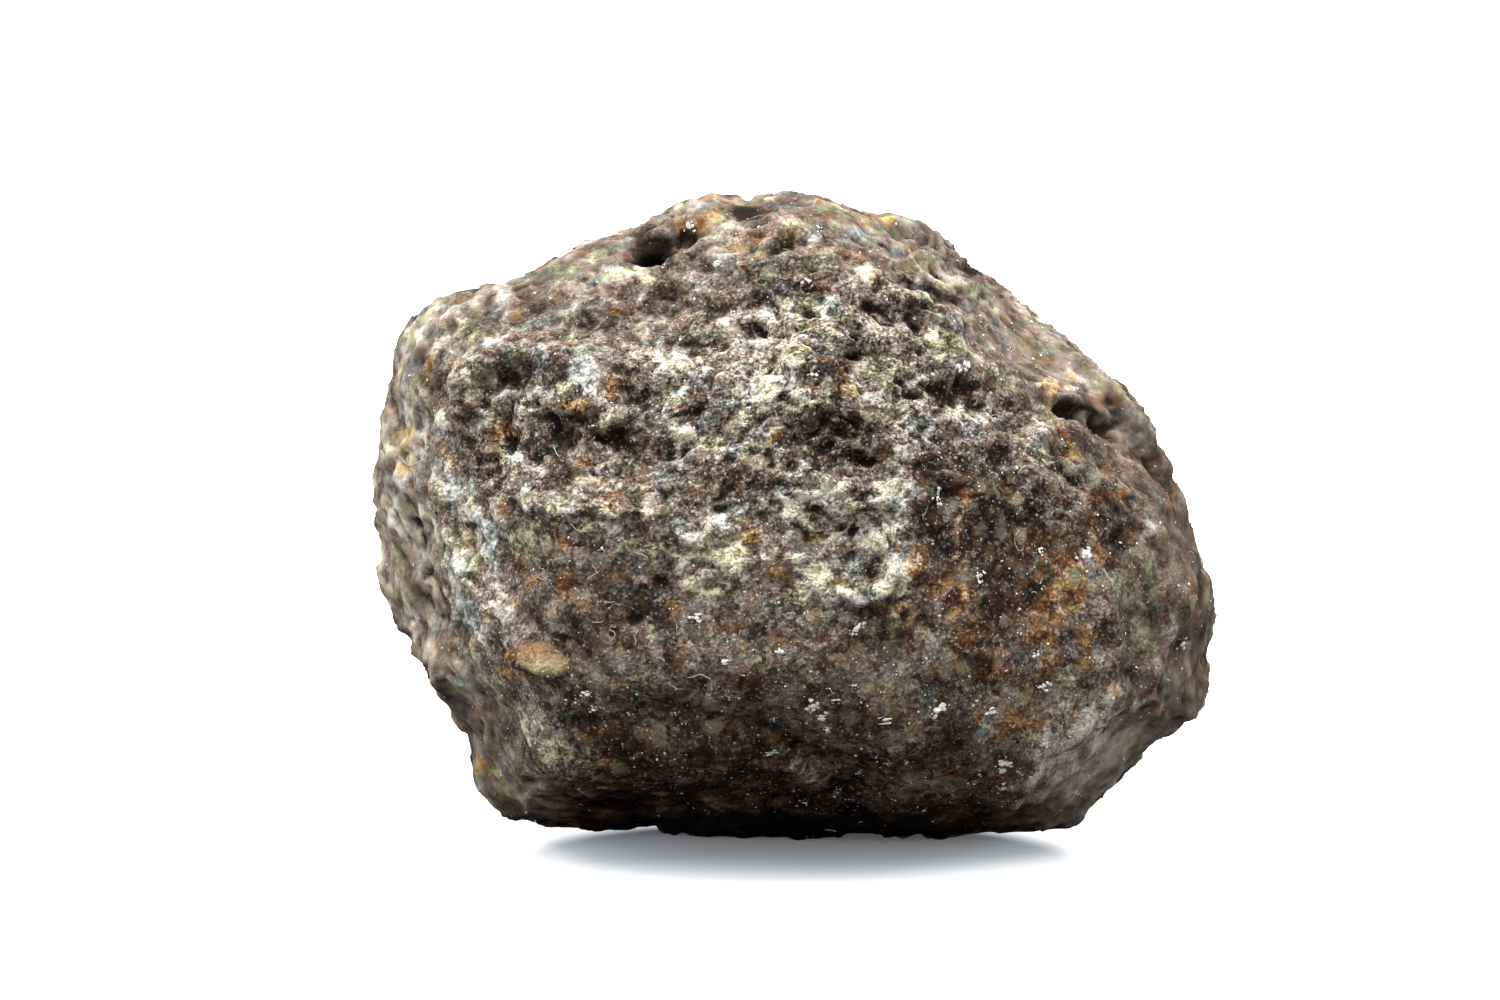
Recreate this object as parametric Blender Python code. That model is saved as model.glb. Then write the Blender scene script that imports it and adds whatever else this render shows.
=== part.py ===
"""Chondrite meteorite: one stone, 38 mm across, which rests on a small flat spot.

The stone is a cube cut into a fine grid and blown up to a ball. Each point of the ball
then goes out to the broad broken faces listed in FACES, and the whole is drawn in or out
until it has the outline that the front viewpoint sees. Ledges, hollows, pits and lumps
are raised on it or sunk into it, over a low swell and the crags of its rough parts.
Below the resting height it is cut off flat.

Lengths are in millimetres until the last step. Places on the front are given as the
front viewpoint sees them: millimetres to the right of the stone's middle and above it.
Places elsewhere are given as degrees round from the front to the right, and up.
"""

import math

import bmesh
import bpy
import numpy as np

MM = 0.001

# Driving dimensions
STONE_WIDTH = 38.0
MIDDLE_HEIGHT = 13.4
EDGE_SHARPNESS = 13.0
GRID_CELLS = 28
FRONT_CROWDING = 0.16

# Front viewpoint
EYE_DISTANCE = 187.0
EYE_RISE = math.radians(9.0)
EYE_OFFSET = np.array([-2.0, 0.9])
EYE_RIGHT = np.array([1.0, 0.0, 0.0])
EYE_FORWARD = np.array([0.0, math.cos(EYE_RISE), -math.sin(EYE_RISE)])
EYE_UP = np.array([0.0, math.sin(EYE_RISE), math.cos(EYE_RISE)])

# Broad faces: name, degrees round, degrees up, distance from the middle
FACES = (
    ("front", -4, 8, 13.6),
    ("front_right", 34, 0, 14.6),
    ("front_low", 4, -34, 14.5),
    ("front_under", -5, -62, 13.2),
    ("top_slope", -14, 50, 12.5),
    ("top_slope_right", 40, 44, 13.2),
    ("crest", 5, 82, 14.4),
    ("left_flank", -60, 0, 15.4),
    ("left_end", -98, 4, 18.4),
    ("left_low", -58, -38, 15.2),
    ("left_shoulder", -70, 40, 16.2),
    ("right_flank", 74, -8, 17.0),
    ("right_shoulder", 72, 36, 14.2),
    ("right_low", 58, -42, 14.6),
    ("back", 176, 6, 14.2),
    ("back_right", 136, -8, 15.4),
    ("back_left", -140, 12, 15.8),
    ("back_slope", 168, 48, 13.2),
    ("back_slope_left", -128, 46, 14.6),
    ("back_low", -170, -40, 13.6),
    ("back_low_right", 120, -44, 14.6),
    ("back_low_left", -118, -42, 15.0),
    ("underside", 0, -87, 13.2),
)

# Outline that the front viewpoint sees, clockwise from the left end
OUTLINE = (
    (-18.95, 2.2), (-18.5, 4.6), (-18.3, 6.0), (-17.9, 8.0), (-17.3, 9.1), (-16.3, 10.0),
    (-14.2, 10.7), (-12.9, 10.9), (-11.0, 11.7), (-8.9, 12.8), (-7.6, 13.0), (-6.0, 13.9),
    (-4.6, 14.5), (-3.6, 14.75), (-2.2, 14.5), (-0.7, 14.8), (1.2, 14.6), (2.8, 13.9),
    (4.8, 13.75), (6.3, 13.1), (7.6, 11.9), (9.0, 10.8), (10.8, 9.4), (12.5, 8.0),
    (14.0, 6.8), (15.2, 5.8), (16.2, 4.4), (16.8, 2.6), (17.6, 1.0), (17.95, -0.9),
    (18.8, -2.6), (18.98, -4.6), (18.6, -6.1), (18.75, -7.3), (18.2, -8.8), (17.4, -9.55),
    (16.2, -10.1), (14.9, -11.4), (13.3, -12.9), (12.4, -14.1), (8.0, -14.4), (3.0, -14.5),
    (-2.0, -14.4), (-6.0, -14.2), (-10.9, -14.0), (-13.2, -13.4), (-14.3, -12.2),
    (-14.5, -10.9), (-14.9, -9.5), (-16.1, -7.9), (-17.0, -6.4), (-17.9, -4.8),
    (-18.1, -4.0), (-18.75, -2.9), (-18.7, -1.2), (-18.95, 0.2),
)

# Relief of the front: name, line of places as the front viewpoint sees them, half width,
# height (sunk where it is negative)
FRONT_RELIEF = (
    ("arch_ridge", ((-15.2, 4.6), (-14.6, 6.3), (-13.4, 7.1), (-12.0, 7.3), (-9.0, 6.9)), 1.0, 0.65),
    ("arch_hollow", ((-12.6, 6.2), (-10.4, 4.6)), 0.9, -0.4),
    ("front_hollow", ((-13.0, 3.4), (-11.0, 3.8), (-8.6, 3.2), (-6.2, 3.2)), 1.5, -1.0),
    ("hollow_lip", ((-13.2, 0.7), (-11.0, 0.9), (-8.6, 0.7), (-6.4, 0.6)), 0.8, 0.35),
    ("flank_edge", ((-16.2, 3.2), (-15.4, 1.2), (-14.9, -1.4), (-13.6, -3.6), (-12.4, -5.2)), 0.9, 0.5),
    ("flank_hollow", ((-17.2, -0.6), (-16.7, -3.2), (-15.7, -5.0)), 1.0, -0.5),
    ("left_ridge_high", ((-18.2, 5.0), (-17.9, 3.2), (-17.2, 1.6)), 0.8, 0.5),
    ("left_ridge_low", ((-18.5, -2.2), (-17.4, -4.6), (-15.9, -6.4), (-15.0, -8.8)), 0.9, 0.6),
    ("top_swale", ((-13.4, 9.2), (-9.0, 8.8), (-6.0, 9.6)), 1.4, -0.45),
    ("top_ledge", ((-9.2, 11.2), (-6.6, 10.9), (-3.4, 10.2), (-0.6, 10.8)), 1.1, 0.45),
    ("black_pit", ((-6.5, 12.1), (-5.7, 12.3)), 0.9, -1.5),
    ("brown_pit", ((-5.0, 12.7), (-4.7, 12.8)), 0.7, -0.6),
    ("pit_rim", ((-7.0, 13.0), (-5.6, 13.5), (-4.2, 13.3)), 0.7, 0.4),
    ("crest_pit", ((-2.8, 13.8), (-1.9, 13.9)), 0.7, -0.6),
    ("right_edge_pit", ((7.6, 11.4), (8.4, 11.2)), 0.8, -0.7),
    ("pit_chain_high", ((4.8, 11.0), (5.8, 10.4), (7.2, 9.8)), 0.75, -0.45),
    ("pit_chain_low", ((3.5, 9.8), (4.6, 9.3), (5.6, 8.7)), 0.75, -0.4),
    ("pit_chain_ridge", ((3.4, 11.2), (5.0, 10.1), (7.0, 8.7)), 0.6, 0.35),
    ("middle_pit", ((-4.4, 8.0), (-1.6, 8.7)), 0.8, -0.3),
    ("olive_pit", ((-7.6, 6.1), (-6.8, 6.0)), 0.8, -0.35),
    ("centre_lump", ((0.4, 7.0), (1.0, 5.6)), 1.1, 0.8),
    ("centre_hollow", ((1.6, 3.4), (3.0, 3.0)), 1.1, -0.6),
    ("grey_hollow", ((3.6, 6.8), (5.0, 6.2)), 1.3, -0.5),
    ("right_ledge", ((5.8, 6.9), (8.2, 6.9), (10.6, 6.2), (13.4, 5.6)), 0.9, 0.45),
    ("brown_hollow", ((7.0, 5.6), (9.4, 5.4)), 1.0, -0.5),
    ("right_slot", ((11.8, 5.2), (13.0, 4.8), (14.2, 4.3)), 0.8, -0.5),
    ("cream_ledge", ((0.6, 1.2), (2.6, 1.4), (4.4, 0.2), (4.8, -2.2), (3.0, -3.4)), 0.8, 0.4),
    ("cream_hollow", ((2.4, -0.4), (2.6, -1.8)), 0.8, -0.3),
    ("matrix_lump", ((-4.4, -1.4), (-2.8, -1.8)), 1.2, 0.45),
    ("matrix_groove", ((-5.0, -2.0), (-6.2, -3.2), (-7.0, -4.6)), 0.7, -0.3),
    ("chondrule", ((-11.9, -6.05), (-10.9, -6.4)), 0.85, 0.75),
    ("chondrule_groove", ((-12.4, -5.0), (-11.0, -5.0), (-9.6, -6.0)), 0.6, -0.35),
    ("chin_swell", ((-6.0, -6.6), (-1.0, -7.2), (3.0, -8.6), (6.0, -10.2)), 1.8, 0.45),
    ("under_groove", ((-9.0, -9.4), (-5.0, -9.0), (-1.0, -9.6), (2.6, -11.8)), 1.1, -0.5),
    ("clast_lump", ((0.1, -11.3), (1.2, -11.7)), 1.2, 0.5),
    ("left_low_lump", ((-11.4, -10.2), (-10.2, -10.9)), 1.5, 0.5),
    ("left_foot_lump", ((-14.0, -10.4), (-13.8, -11.4)), 0.9, 0.45),
    ("foot_notch", ((-4.6, -13.6), (-4.2, -12.6)), 1.1, -0.5),
    ("foot_scoop_left", ((-7.0, -13.9), (-5.6, -13.9)), 0.9, -0.5),
    ("foot_scoop_right", ((2.2, -14.1), (5.0, -14.1), (7.8, -14.0)), 0.9, -0.5),
    (
        "right_flank_edge",
        ((16.4, 2.6), (16.2, 0.2), (15.2, -1.8), (14.2, -4.2), (14.4, -7.6), (16.2, -8.3)), 0.8, 0.35,
    ),
    ("right_flank_hollow", ((15.6, -3.4), (15.2, -6.4)), 1.3, -0.25),
    ("right_flank_fold", ((17.4, -1.8), (16.9, -4.2), (16.3, -6.8)), 0.9, 0.35),
    ("right_end_lump", ((18.2, -7.4), (17.4, -8.7)), 1.1, 0.55),
    ("right_foot_hollow", ((11.6, -11.0), (14.2, -9.6)), 1.6, -0.35),
    ("right_foot_ridge", ((9.8, -12.6), (11.2, -10.4), (13.6, -8.8)), 0.9, 0.45),
)

# Relief of the hidden sides, in the same way: its places are degrees round and degrees up
FAR_RELIEF = (
    ("left_end_ledge", ((-84, 34), (-92, 12), (-86, -10)), 1.3, 0.7),
    ("left_end_hollow", ((-104, 24), (-100, -2), (-104, -22)), 1.7, -0.9),
    ("left_end_lump", ((-90, -26), (-78, -38)), 2.0, 0.6),
    ("left_back_ridge", ((-122, 50), (-126, 20), (-118, -14), (-124, -38)), 1.5, 0.8),
    ("left_back_pit", ((-134, 30), (-139, 24)), 1.1, -1.3),
    ("back_ledge", ((-150, 10), (-168, 16), (172, 8), (154, 14)), 1.5, 0.9),
    ("back_hollow", ((-158, -8), (-176, -4), (166, -10)), 2.2, -1.3),
    ("back_pit_high", ((178, 38), (170, 42)), 1.2, -1.5),
    ("back_pit_mid", ((-160, 33), (-165, 28)), 0.9, -1.0),
    ("back_pit_right", ((146, 32), (150, 26)), 1.0, -1.1),
    ("back_lump", ((-152, -26), (-166, -30)), 2.2, 0.8),
    ("back_right_ridge", ((134, 54), (126, 28), (132, 0), (122, -30)), 1.5, 0.8),
    ("back_right_hollow", ((112, 20), (110, -6)), 2.0, -1.1),
    ("back_right_pit", ((116, -26), (109, -30)), 1.1, -1.2),
    ("right_end_ledge", ((96, 34), (90, 16), (96, -4)), 1.2, 0.7),
    ("right_end_groove", ((84, 22), (88, -2), (84, -20)), 1.2, -0.7),
    ("right_low_lump", ((92, -34), (80, -44)), 1.8, 0.6),
    ("crest_ridge", ((-60, 62), (-20, 74), (60, 78), (110, 60)), 1.3, 0.6),
    ("crest_hollow", ((-120, 68), (-170, 72), (150, 64)), 1.8, -0.8),
    ("crest_pit", ((96, 66), (84, 70)), 1.0, -1.2),
    ("under_hollow_back", ((-160, -58), (170, -56)), 2.2, -0.8),
    ("under_lump_left", ((-104, -58), (-80, -60)), 1.8, 0.5),
)

# The swell is low and broad; the crags stand on the rough parts alone. Each has a size
# from lump to lump and a height.
SWELL_SIZE, SWELL_HEIGHT = 6.5, 0.5
CRAG_SIZE, CRAG_HEIGHT = 2.6, 0.2
NOISE_PERIOD = 32

# The smooth low front, where the crags die away: place seen, half width, half height
SMOOTH_PATCHES = (
    (-1.0, -8.2, 14.0, 5.2),
    (-8.6, -3.4, 4.6, 4.6),
    (9.6, -7.0, 5.2, 4.6),
)


def facing(degrees_round, degrees_up):
    """Unit vector that points from the middle to a place round the stone."""
    turn, rise = math.radians(degrees_round), math.radians(degrees_up)
    return np.array(
        [math.sin(turn) * math.cos(rise), -math.cos(turn) * math.cos(rise), math.sin(rise)]
    )


def broken_faces(directions):
    """Points where the directions from the middle meet the broad faces, edges rounded."""
    normals = np.array([facing(turn, rise) for _, turn, rise, _ in FACES])
    distances = np.array([distance for *_, distance in FACES])
    reach = np.maximum(directions @ normals.T, 0.0) / distances
    radius = (reach**EDGE_SHARPNESS).sum(axis=1) ** (-1.0 / EDGE_SHARPNESS)
    return directions * radius[:, None]


def seen(points):
    """Millimetres right of the middle and above it, as the front viewpoint sees points."""
    depth = points @ EYE_FORWARD
    nearness = EYE_DISTANCE / (EYE_DISTANCE + depth)
    flat = np.stack([points @ EYE_RIGHT, points @ EYE_UP], axis=1) - EYE_OFFSET
    return flat * nearness[:, None] + EYE_OFFSET


def outline_reach(turns):
    """Distance from the middle to the outline, for angles round the line of sight."""
    corners = np.array(OUTLINE)
    corner_turns = np.arctan2(corners[:, 1], corners[:, 0])
    order = np.argsort(corner_turns)
    reach = np.hypot(corners[:, 0], corners[:, 1])[order]
    return np.interp(turns, corner_turns[order], reach, period=2 * math.pi)


def fit_outline(points, hold, bins=144):
    """Points drawn in or out across the line of sight until the rim meets the outline.

    The change fades towards the middle of the front and back, faster where hold is more.
    """
    flat = seen(points)
    turns = np.arctan2(flat[:, 1], flat[:, 0])
    reach = np.hypot(flat[:, 0], flat[:, 1])
    bin_turns = (np.arange(bins) + 0.5) / bins * 2 * math.pi - math.pi
    bin_of = ((turns + math.pi) / (2 * math.pi) * bins).astype(int) % bins
    rim = np.zeros(bins)
    np.maximum.at(rim, bin_of, reach)
    stretch = outline_reach(bin_turns) / rim
    stretch = (np.roll(stretch, 1) + 2 * stretch + np.roll(stretch, -1)) / 4
    share = np.clip(reach / np.interp(turns, bin_turns, rim, period=2 * math.pi), 0.0, 1.0)
    scale = 1 + (np.interp(turns, bin_turns, stretch, period=2 * math.pi) - 1) * share**hold
    across = points @ EYE_RIGHT * scale
    up = points @ EYE_UP * scale
    forward = points @ EYE_FORWARD
    return np.outer(across, EYE_RIGHT) + np.outer(up, EYE_UP) + np.outer(forward, EYE_FORWARD)


def front_places(points, places):
    """Points of the surface under places that the front viewpoint sees."""
    near = points[points @ EYE_FORWARD < 3.0]
    flat = seen(near)
    found = []
    for place in places:
        apart = ((flat - np.array(place)) ** 2).sum(axis=1)
        closest = np.argsort(apart)[:4]
        weights = 1.0 / (apart[closest] + 0.02)
        found.append(weights @ near[closest] / weights.sum())
    return np.array(found)


def far_places(places):
    """Points of the broad faces at places given as degrees round and degrees up."""
    return broken_faces(np.array([facing(turn, rise) for turn, rise in places]))


def distance_to_line(points, line):
    """Distance from each point to a line of straight pieces."""
    nearest = np.full(len(points), np.inf)
    for start, end in zip(line[:-1], line[1:]):
        run = end - start
        share = np.clip((points - start) @ run / max(run @ run, 1e-9), 0.0, 1.0)
        nearest = np.minimum(nearest, np.linalg.norm(points - start - np.outer(share, run), axis=1))
    return nearest


def relief(points):
    """Height of the ledges, lumps, hollows and pits at each point."""
    height = np.zeros(len(points))
    for _, places, half_width, rise in FRONT_RELIEF:
        line = front_places(points, places)
        height += rise * np.exp(-((distance_to_line(points, line) / half_width) ** 2))
    for _, places, half_width, rise in FAR_RELIEF:
        line = far_places(places)
        height += rise * np.exp(-((distance_to_line(points, line) / half_width) ** 2))
    return height


def smoothness(points):
    """1 on the smooth low front, falling to 0 on the rough parts."""
    flat = seen(points)
    most = np.zeros(len(points))
    for right, up, half_width, half_height in SMOOTH_PATCHES:
        apart = np.hypot((flat[:, 0] - right) / half_width, (flat[:, 1] - up) / half_height)
        most = np.maximum(most, np.clip(2.6 - 2.0 * apart, 0.0, 1.0))
    return np.where(points @ EYE_FORWARD < 0.0, most, 0.0)


def noise_at(points, seed, size):
    """Smooth noise between about -1 and 1, whose lumps are size apart.

    Each corner of a lattice has a random slope. A point's value is the slopes times the
    way from each of its cell's eight corners, blended along each axis.
    """
    slopes = np.random.default_rng(seed).normal(size=(NOISE_PERIOD,) * 3 + (3,))
    slopes /= np.linalg.norm(slopes, axis=-1, keepdims=True)
    place = points / size
    corner = np.floor(place).astype(int)
    inside = place - corner
    blend = inside**3 * (inside * (inside * 6.0 - 15.0) + 10.0)
    total = np.zeros(len(points))
    for step in np.ndindex(2, 2, 2):
        offset = np.array(step)
        i, j, k = ((corner + offset) % NOISE_PERIOD).T
        weight = np.prod(np.where(offset, blend, 1.0 - blend), axis=1)
        total += weight * ((inside - offset) * slopes[i, j, k]).sum(axis=1)
    return 1.6 * total


def crags(points):
    """Height of the swell and of the crags, which have sharp crests and blunt hollows."""
    swell = noise_at(points, 4, SWELL_SIZE)
    broad = 0.5 - 2.0 * np.abs(noise_at(points, 5, CRAG_SIZE))
    fine = 0.5 - 2.0 * np.abs(noise_at(points, 6, CRAG_SIZE / 2))
    rough = 1.0 - 0.8 * smoothness(points)
    return SWELL_HEIGHT * swell + CRAG_HEIGHT * rough * (broad + 0.6 * fine)


def gridded_cube():
    """A cube whose six sides are cut into a square grid of cells."""
    grid = bmesh.new()
    bmesh.ops.create_cube(grid, size=2.0)
    bmesh.ops.subdivide_edges(
        grid, edges=grid.edges[:], cuts=GRID_CELLS - 1, use_grid_fill=True
    )
    mesh = bpy.data.meshes.new("meteorite")
    grid.to_mesh(mesh)
    grid.free()
    return mesh


def places_of(mesh):
    """The mesh's points as an array."""
    flat = np.empty(len(mesh.vertices) * 3)
    mesh.vertices.foreach_get("co", flat)
    return flat.reshape(-1, 3)


def move_points(mesh, points):
    """Give the mesh new points."""
    mesh.vertices.foreach_set("co", points.reshape(-1))
    mesh.update()


def outward(mesh):
    """The mesh's outward direction at each point."""
    flat = np.empty(len(mesh.vertices) * 3)
    mesh.vertex_normals.foreach_get("vector", flat)
    return flat.reshape(-1, 3)


def stone_mesh():
    """The whole stone: ball, broad faces, outline, relief and flat spot."""
    mesh = gridded_cube()
    cube = places_of(mesh)
    ball = np.tan(cube * math.pi / 4)
    ball /= np.linalg.norm(ball, axis=1, keepdims=True)
    ball -= FRONT_CROWDING * EYE_FORWARD
    ball /= np.linalg.norm(ball, axis=1, keepdims=True)
    body = fit_outline(broken_faces(ball), hold=2.0)
    move_points(mesh, body)
    height = relief(body) + crags(body)
    body = fit_outline(body + outward(mesh) * height[:, None], hold=6.0)
    body *= STONE_WIDTH / np.ptp(body[:, 0])
    body[:, 2] = np.maximum(body[:, 2] + MIDDLE_HEIGHT, 0.0)
    move_points(mesh, body * MM)
    mesh.polygons.foreach_set("use_smooth", np.ones(len(mesh.polygons), bool))
    return mesh


def stone_material():
    """Dull grey-brown rock."""
    material = bpy.data.materials.new("meteorite_rock")
    material.use_nodes = True
    surface = material.node_tree.nodes["Principled BSDF"]
    surface.inputs["Base Color"].default_value = (0.17, 0.145, 0.12, 1.0)
    surface.inputs["Roughness"].default_value = 0.78
    surface.inputs["Metallic"].default_value = 0.0
    return material


def clear_scene():
    """Remove every object that the file starts with."""
    for old in list(bpy.data.objects):
        bpy.data.objects.remove(old, do_unlink=True)


def main():
    """Build the stone in a collection of its own."""
    clear_scene()
    collection = bpy.data.collections.new("chondrite_meteorite")
    bpy.context.scene.collection.children.link(collection)
    mesh = stone_mesh()
    mesh.materials.append(stone_material())
    stone = bpy.data.objects.new("meteorite", mesh)
    collection.objects.link(stone)


main()
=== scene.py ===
"""Looks of the chondrite meteorite: its craggy skin, its mottled rock and the dirt on it.

Lengths are in millimetres from the stone's middle until a mesh is made, which is in
metres. Places on the front are given as the front viewpoint sees them: millimetres to
the right of the stone's middle and above it. Places elsewhere are given as degrees round
from the front to the right, and degrees up.
"""

from __future__ import annotations

import logging
import math
from dataclasses import dataclass
from enum import Enum
from functools import cached_property
from typing import Any

import bpy
import numpy as np
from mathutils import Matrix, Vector

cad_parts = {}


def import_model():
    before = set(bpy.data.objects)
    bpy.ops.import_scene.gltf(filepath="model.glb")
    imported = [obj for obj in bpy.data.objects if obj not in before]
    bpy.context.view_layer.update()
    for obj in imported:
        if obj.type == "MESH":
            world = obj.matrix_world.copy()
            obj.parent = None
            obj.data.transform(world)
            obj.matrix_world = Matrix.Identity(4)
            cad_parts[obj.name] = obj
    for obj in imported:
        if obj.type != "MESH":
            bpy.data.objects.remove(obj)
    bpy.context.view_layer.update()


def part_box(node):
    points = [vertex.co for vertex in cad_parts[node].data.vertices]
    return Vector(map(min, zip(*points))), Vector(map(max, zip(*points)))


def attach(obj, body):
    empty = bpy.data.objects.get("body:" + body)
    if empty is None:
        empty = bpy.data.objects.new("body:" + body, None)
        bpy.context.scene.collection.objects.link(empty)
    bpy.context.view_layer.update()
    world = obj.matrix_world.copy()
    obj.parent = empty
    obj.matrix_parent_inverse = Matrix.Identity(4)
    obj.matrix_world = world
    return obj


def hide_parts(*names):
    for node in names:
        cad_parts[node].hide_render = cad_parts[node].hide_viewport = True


LOG = logging.getLogger("chondrite")
MM = 0.001
NODE = "meteorite"
BODY = "root"
TINY = 1e-9

Array = np.ndarray
Place = tuple[float, float]
Ellipse = tuple[float, ...]
Colour = tuple[float, float, float]
Value = Any
Mesh = bpy.types.Mesh
Material = bpy.types.Material

# Broad faces: name, degrees round, degrees up, distance from the middle
FACES = (
    ("front", -4, 8, 13.6), ("front_right", 34, 0, 14.6), ("front_low", 4, -34, 14.5),
    ("front_under", -5, -62, 13.2), ("top_slope", -14, 50, 12.5),
    ("top_slope_right", 40, 44, 13.2), ("crest", 5, 82, 14.4), ("left_flank", -60, 0, 15.4),
    ("left_end", -98, 4, 18.4), ("left_low", -58, -38, 15.2), ("left_shoulder", -70, 40, 16.2),
    ("right_flank", 74, -8, 17), ("right_shoulder", 72, 36, 14.2), ("right_low", 58, -42, 14.6),
    ("back", 176, 6, 14.2), ("back_right", 136, -8, 15.4), ("back_left", -140, 12, 15.8),
    ("back_slope", 168, 48, 13.2), ("back_slope_left", -128, 46, 14.6),
    ("back_low", -170, -40, 13.6), ("back_low_right", 120, -44, 14.6),
    ("back_low_left", -118, -42, 15), ("underside", 0, -87, 13.2),
)

# Outline that the front viewpoint sees, clockwise from the left end
OUTLINE = (
    (-18.95, 2.2), (-18.5, 4.6), (-18.3, 6), (-17.9, 8), (-17.3, 9.1), (-16.3, 10), (-14.2, 10.7),
    (-12.9, 10.9), (-11, 11.7), (-8.9, 12.8), (-7.6, 13), (-6, 13.9), (-4.6, 14.5), (-3.6, 14.75),
    (-2.2, 14.5), (-0.7, 14.8), (1.2, 14.6), (2.8, 13.9), (4.8, 13.75), (6.3, 13.1), (7.6, 11.9),
    (9, 10.8), (10.8, 9.4), (12.5, 8), (14, 6.8), (15.2, 5.8), (16.2, 4.4), (16.8, 2.6), (17.6, 1),
    (17.95, -0.9), (18.8, -2.6), (18.98, -4.6), (18.6, -6.1), (18.75, -7.3), (18.2, -8.8),
    (17.4, -9.55), (16.2, -10.1), (14.9, -11.4), (13.3, -12.9), (12.4, -14.1), (8, -14.4),
    (3, -14.5), (-2, -14.4), (-6, -14.2), (-10.9, -14), (-13.2, -13.4), (-14.3, -12.2),
    (-14.5, -10.9), (-14.9, -9.5), (-16.1, -7.9), (-17, -6.4), (-17.9, -4.8), (-18.1, -4),
    (-18.75, -2.9), (-18.7, -1.2), (-18.95, 0.2),
)

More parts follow.
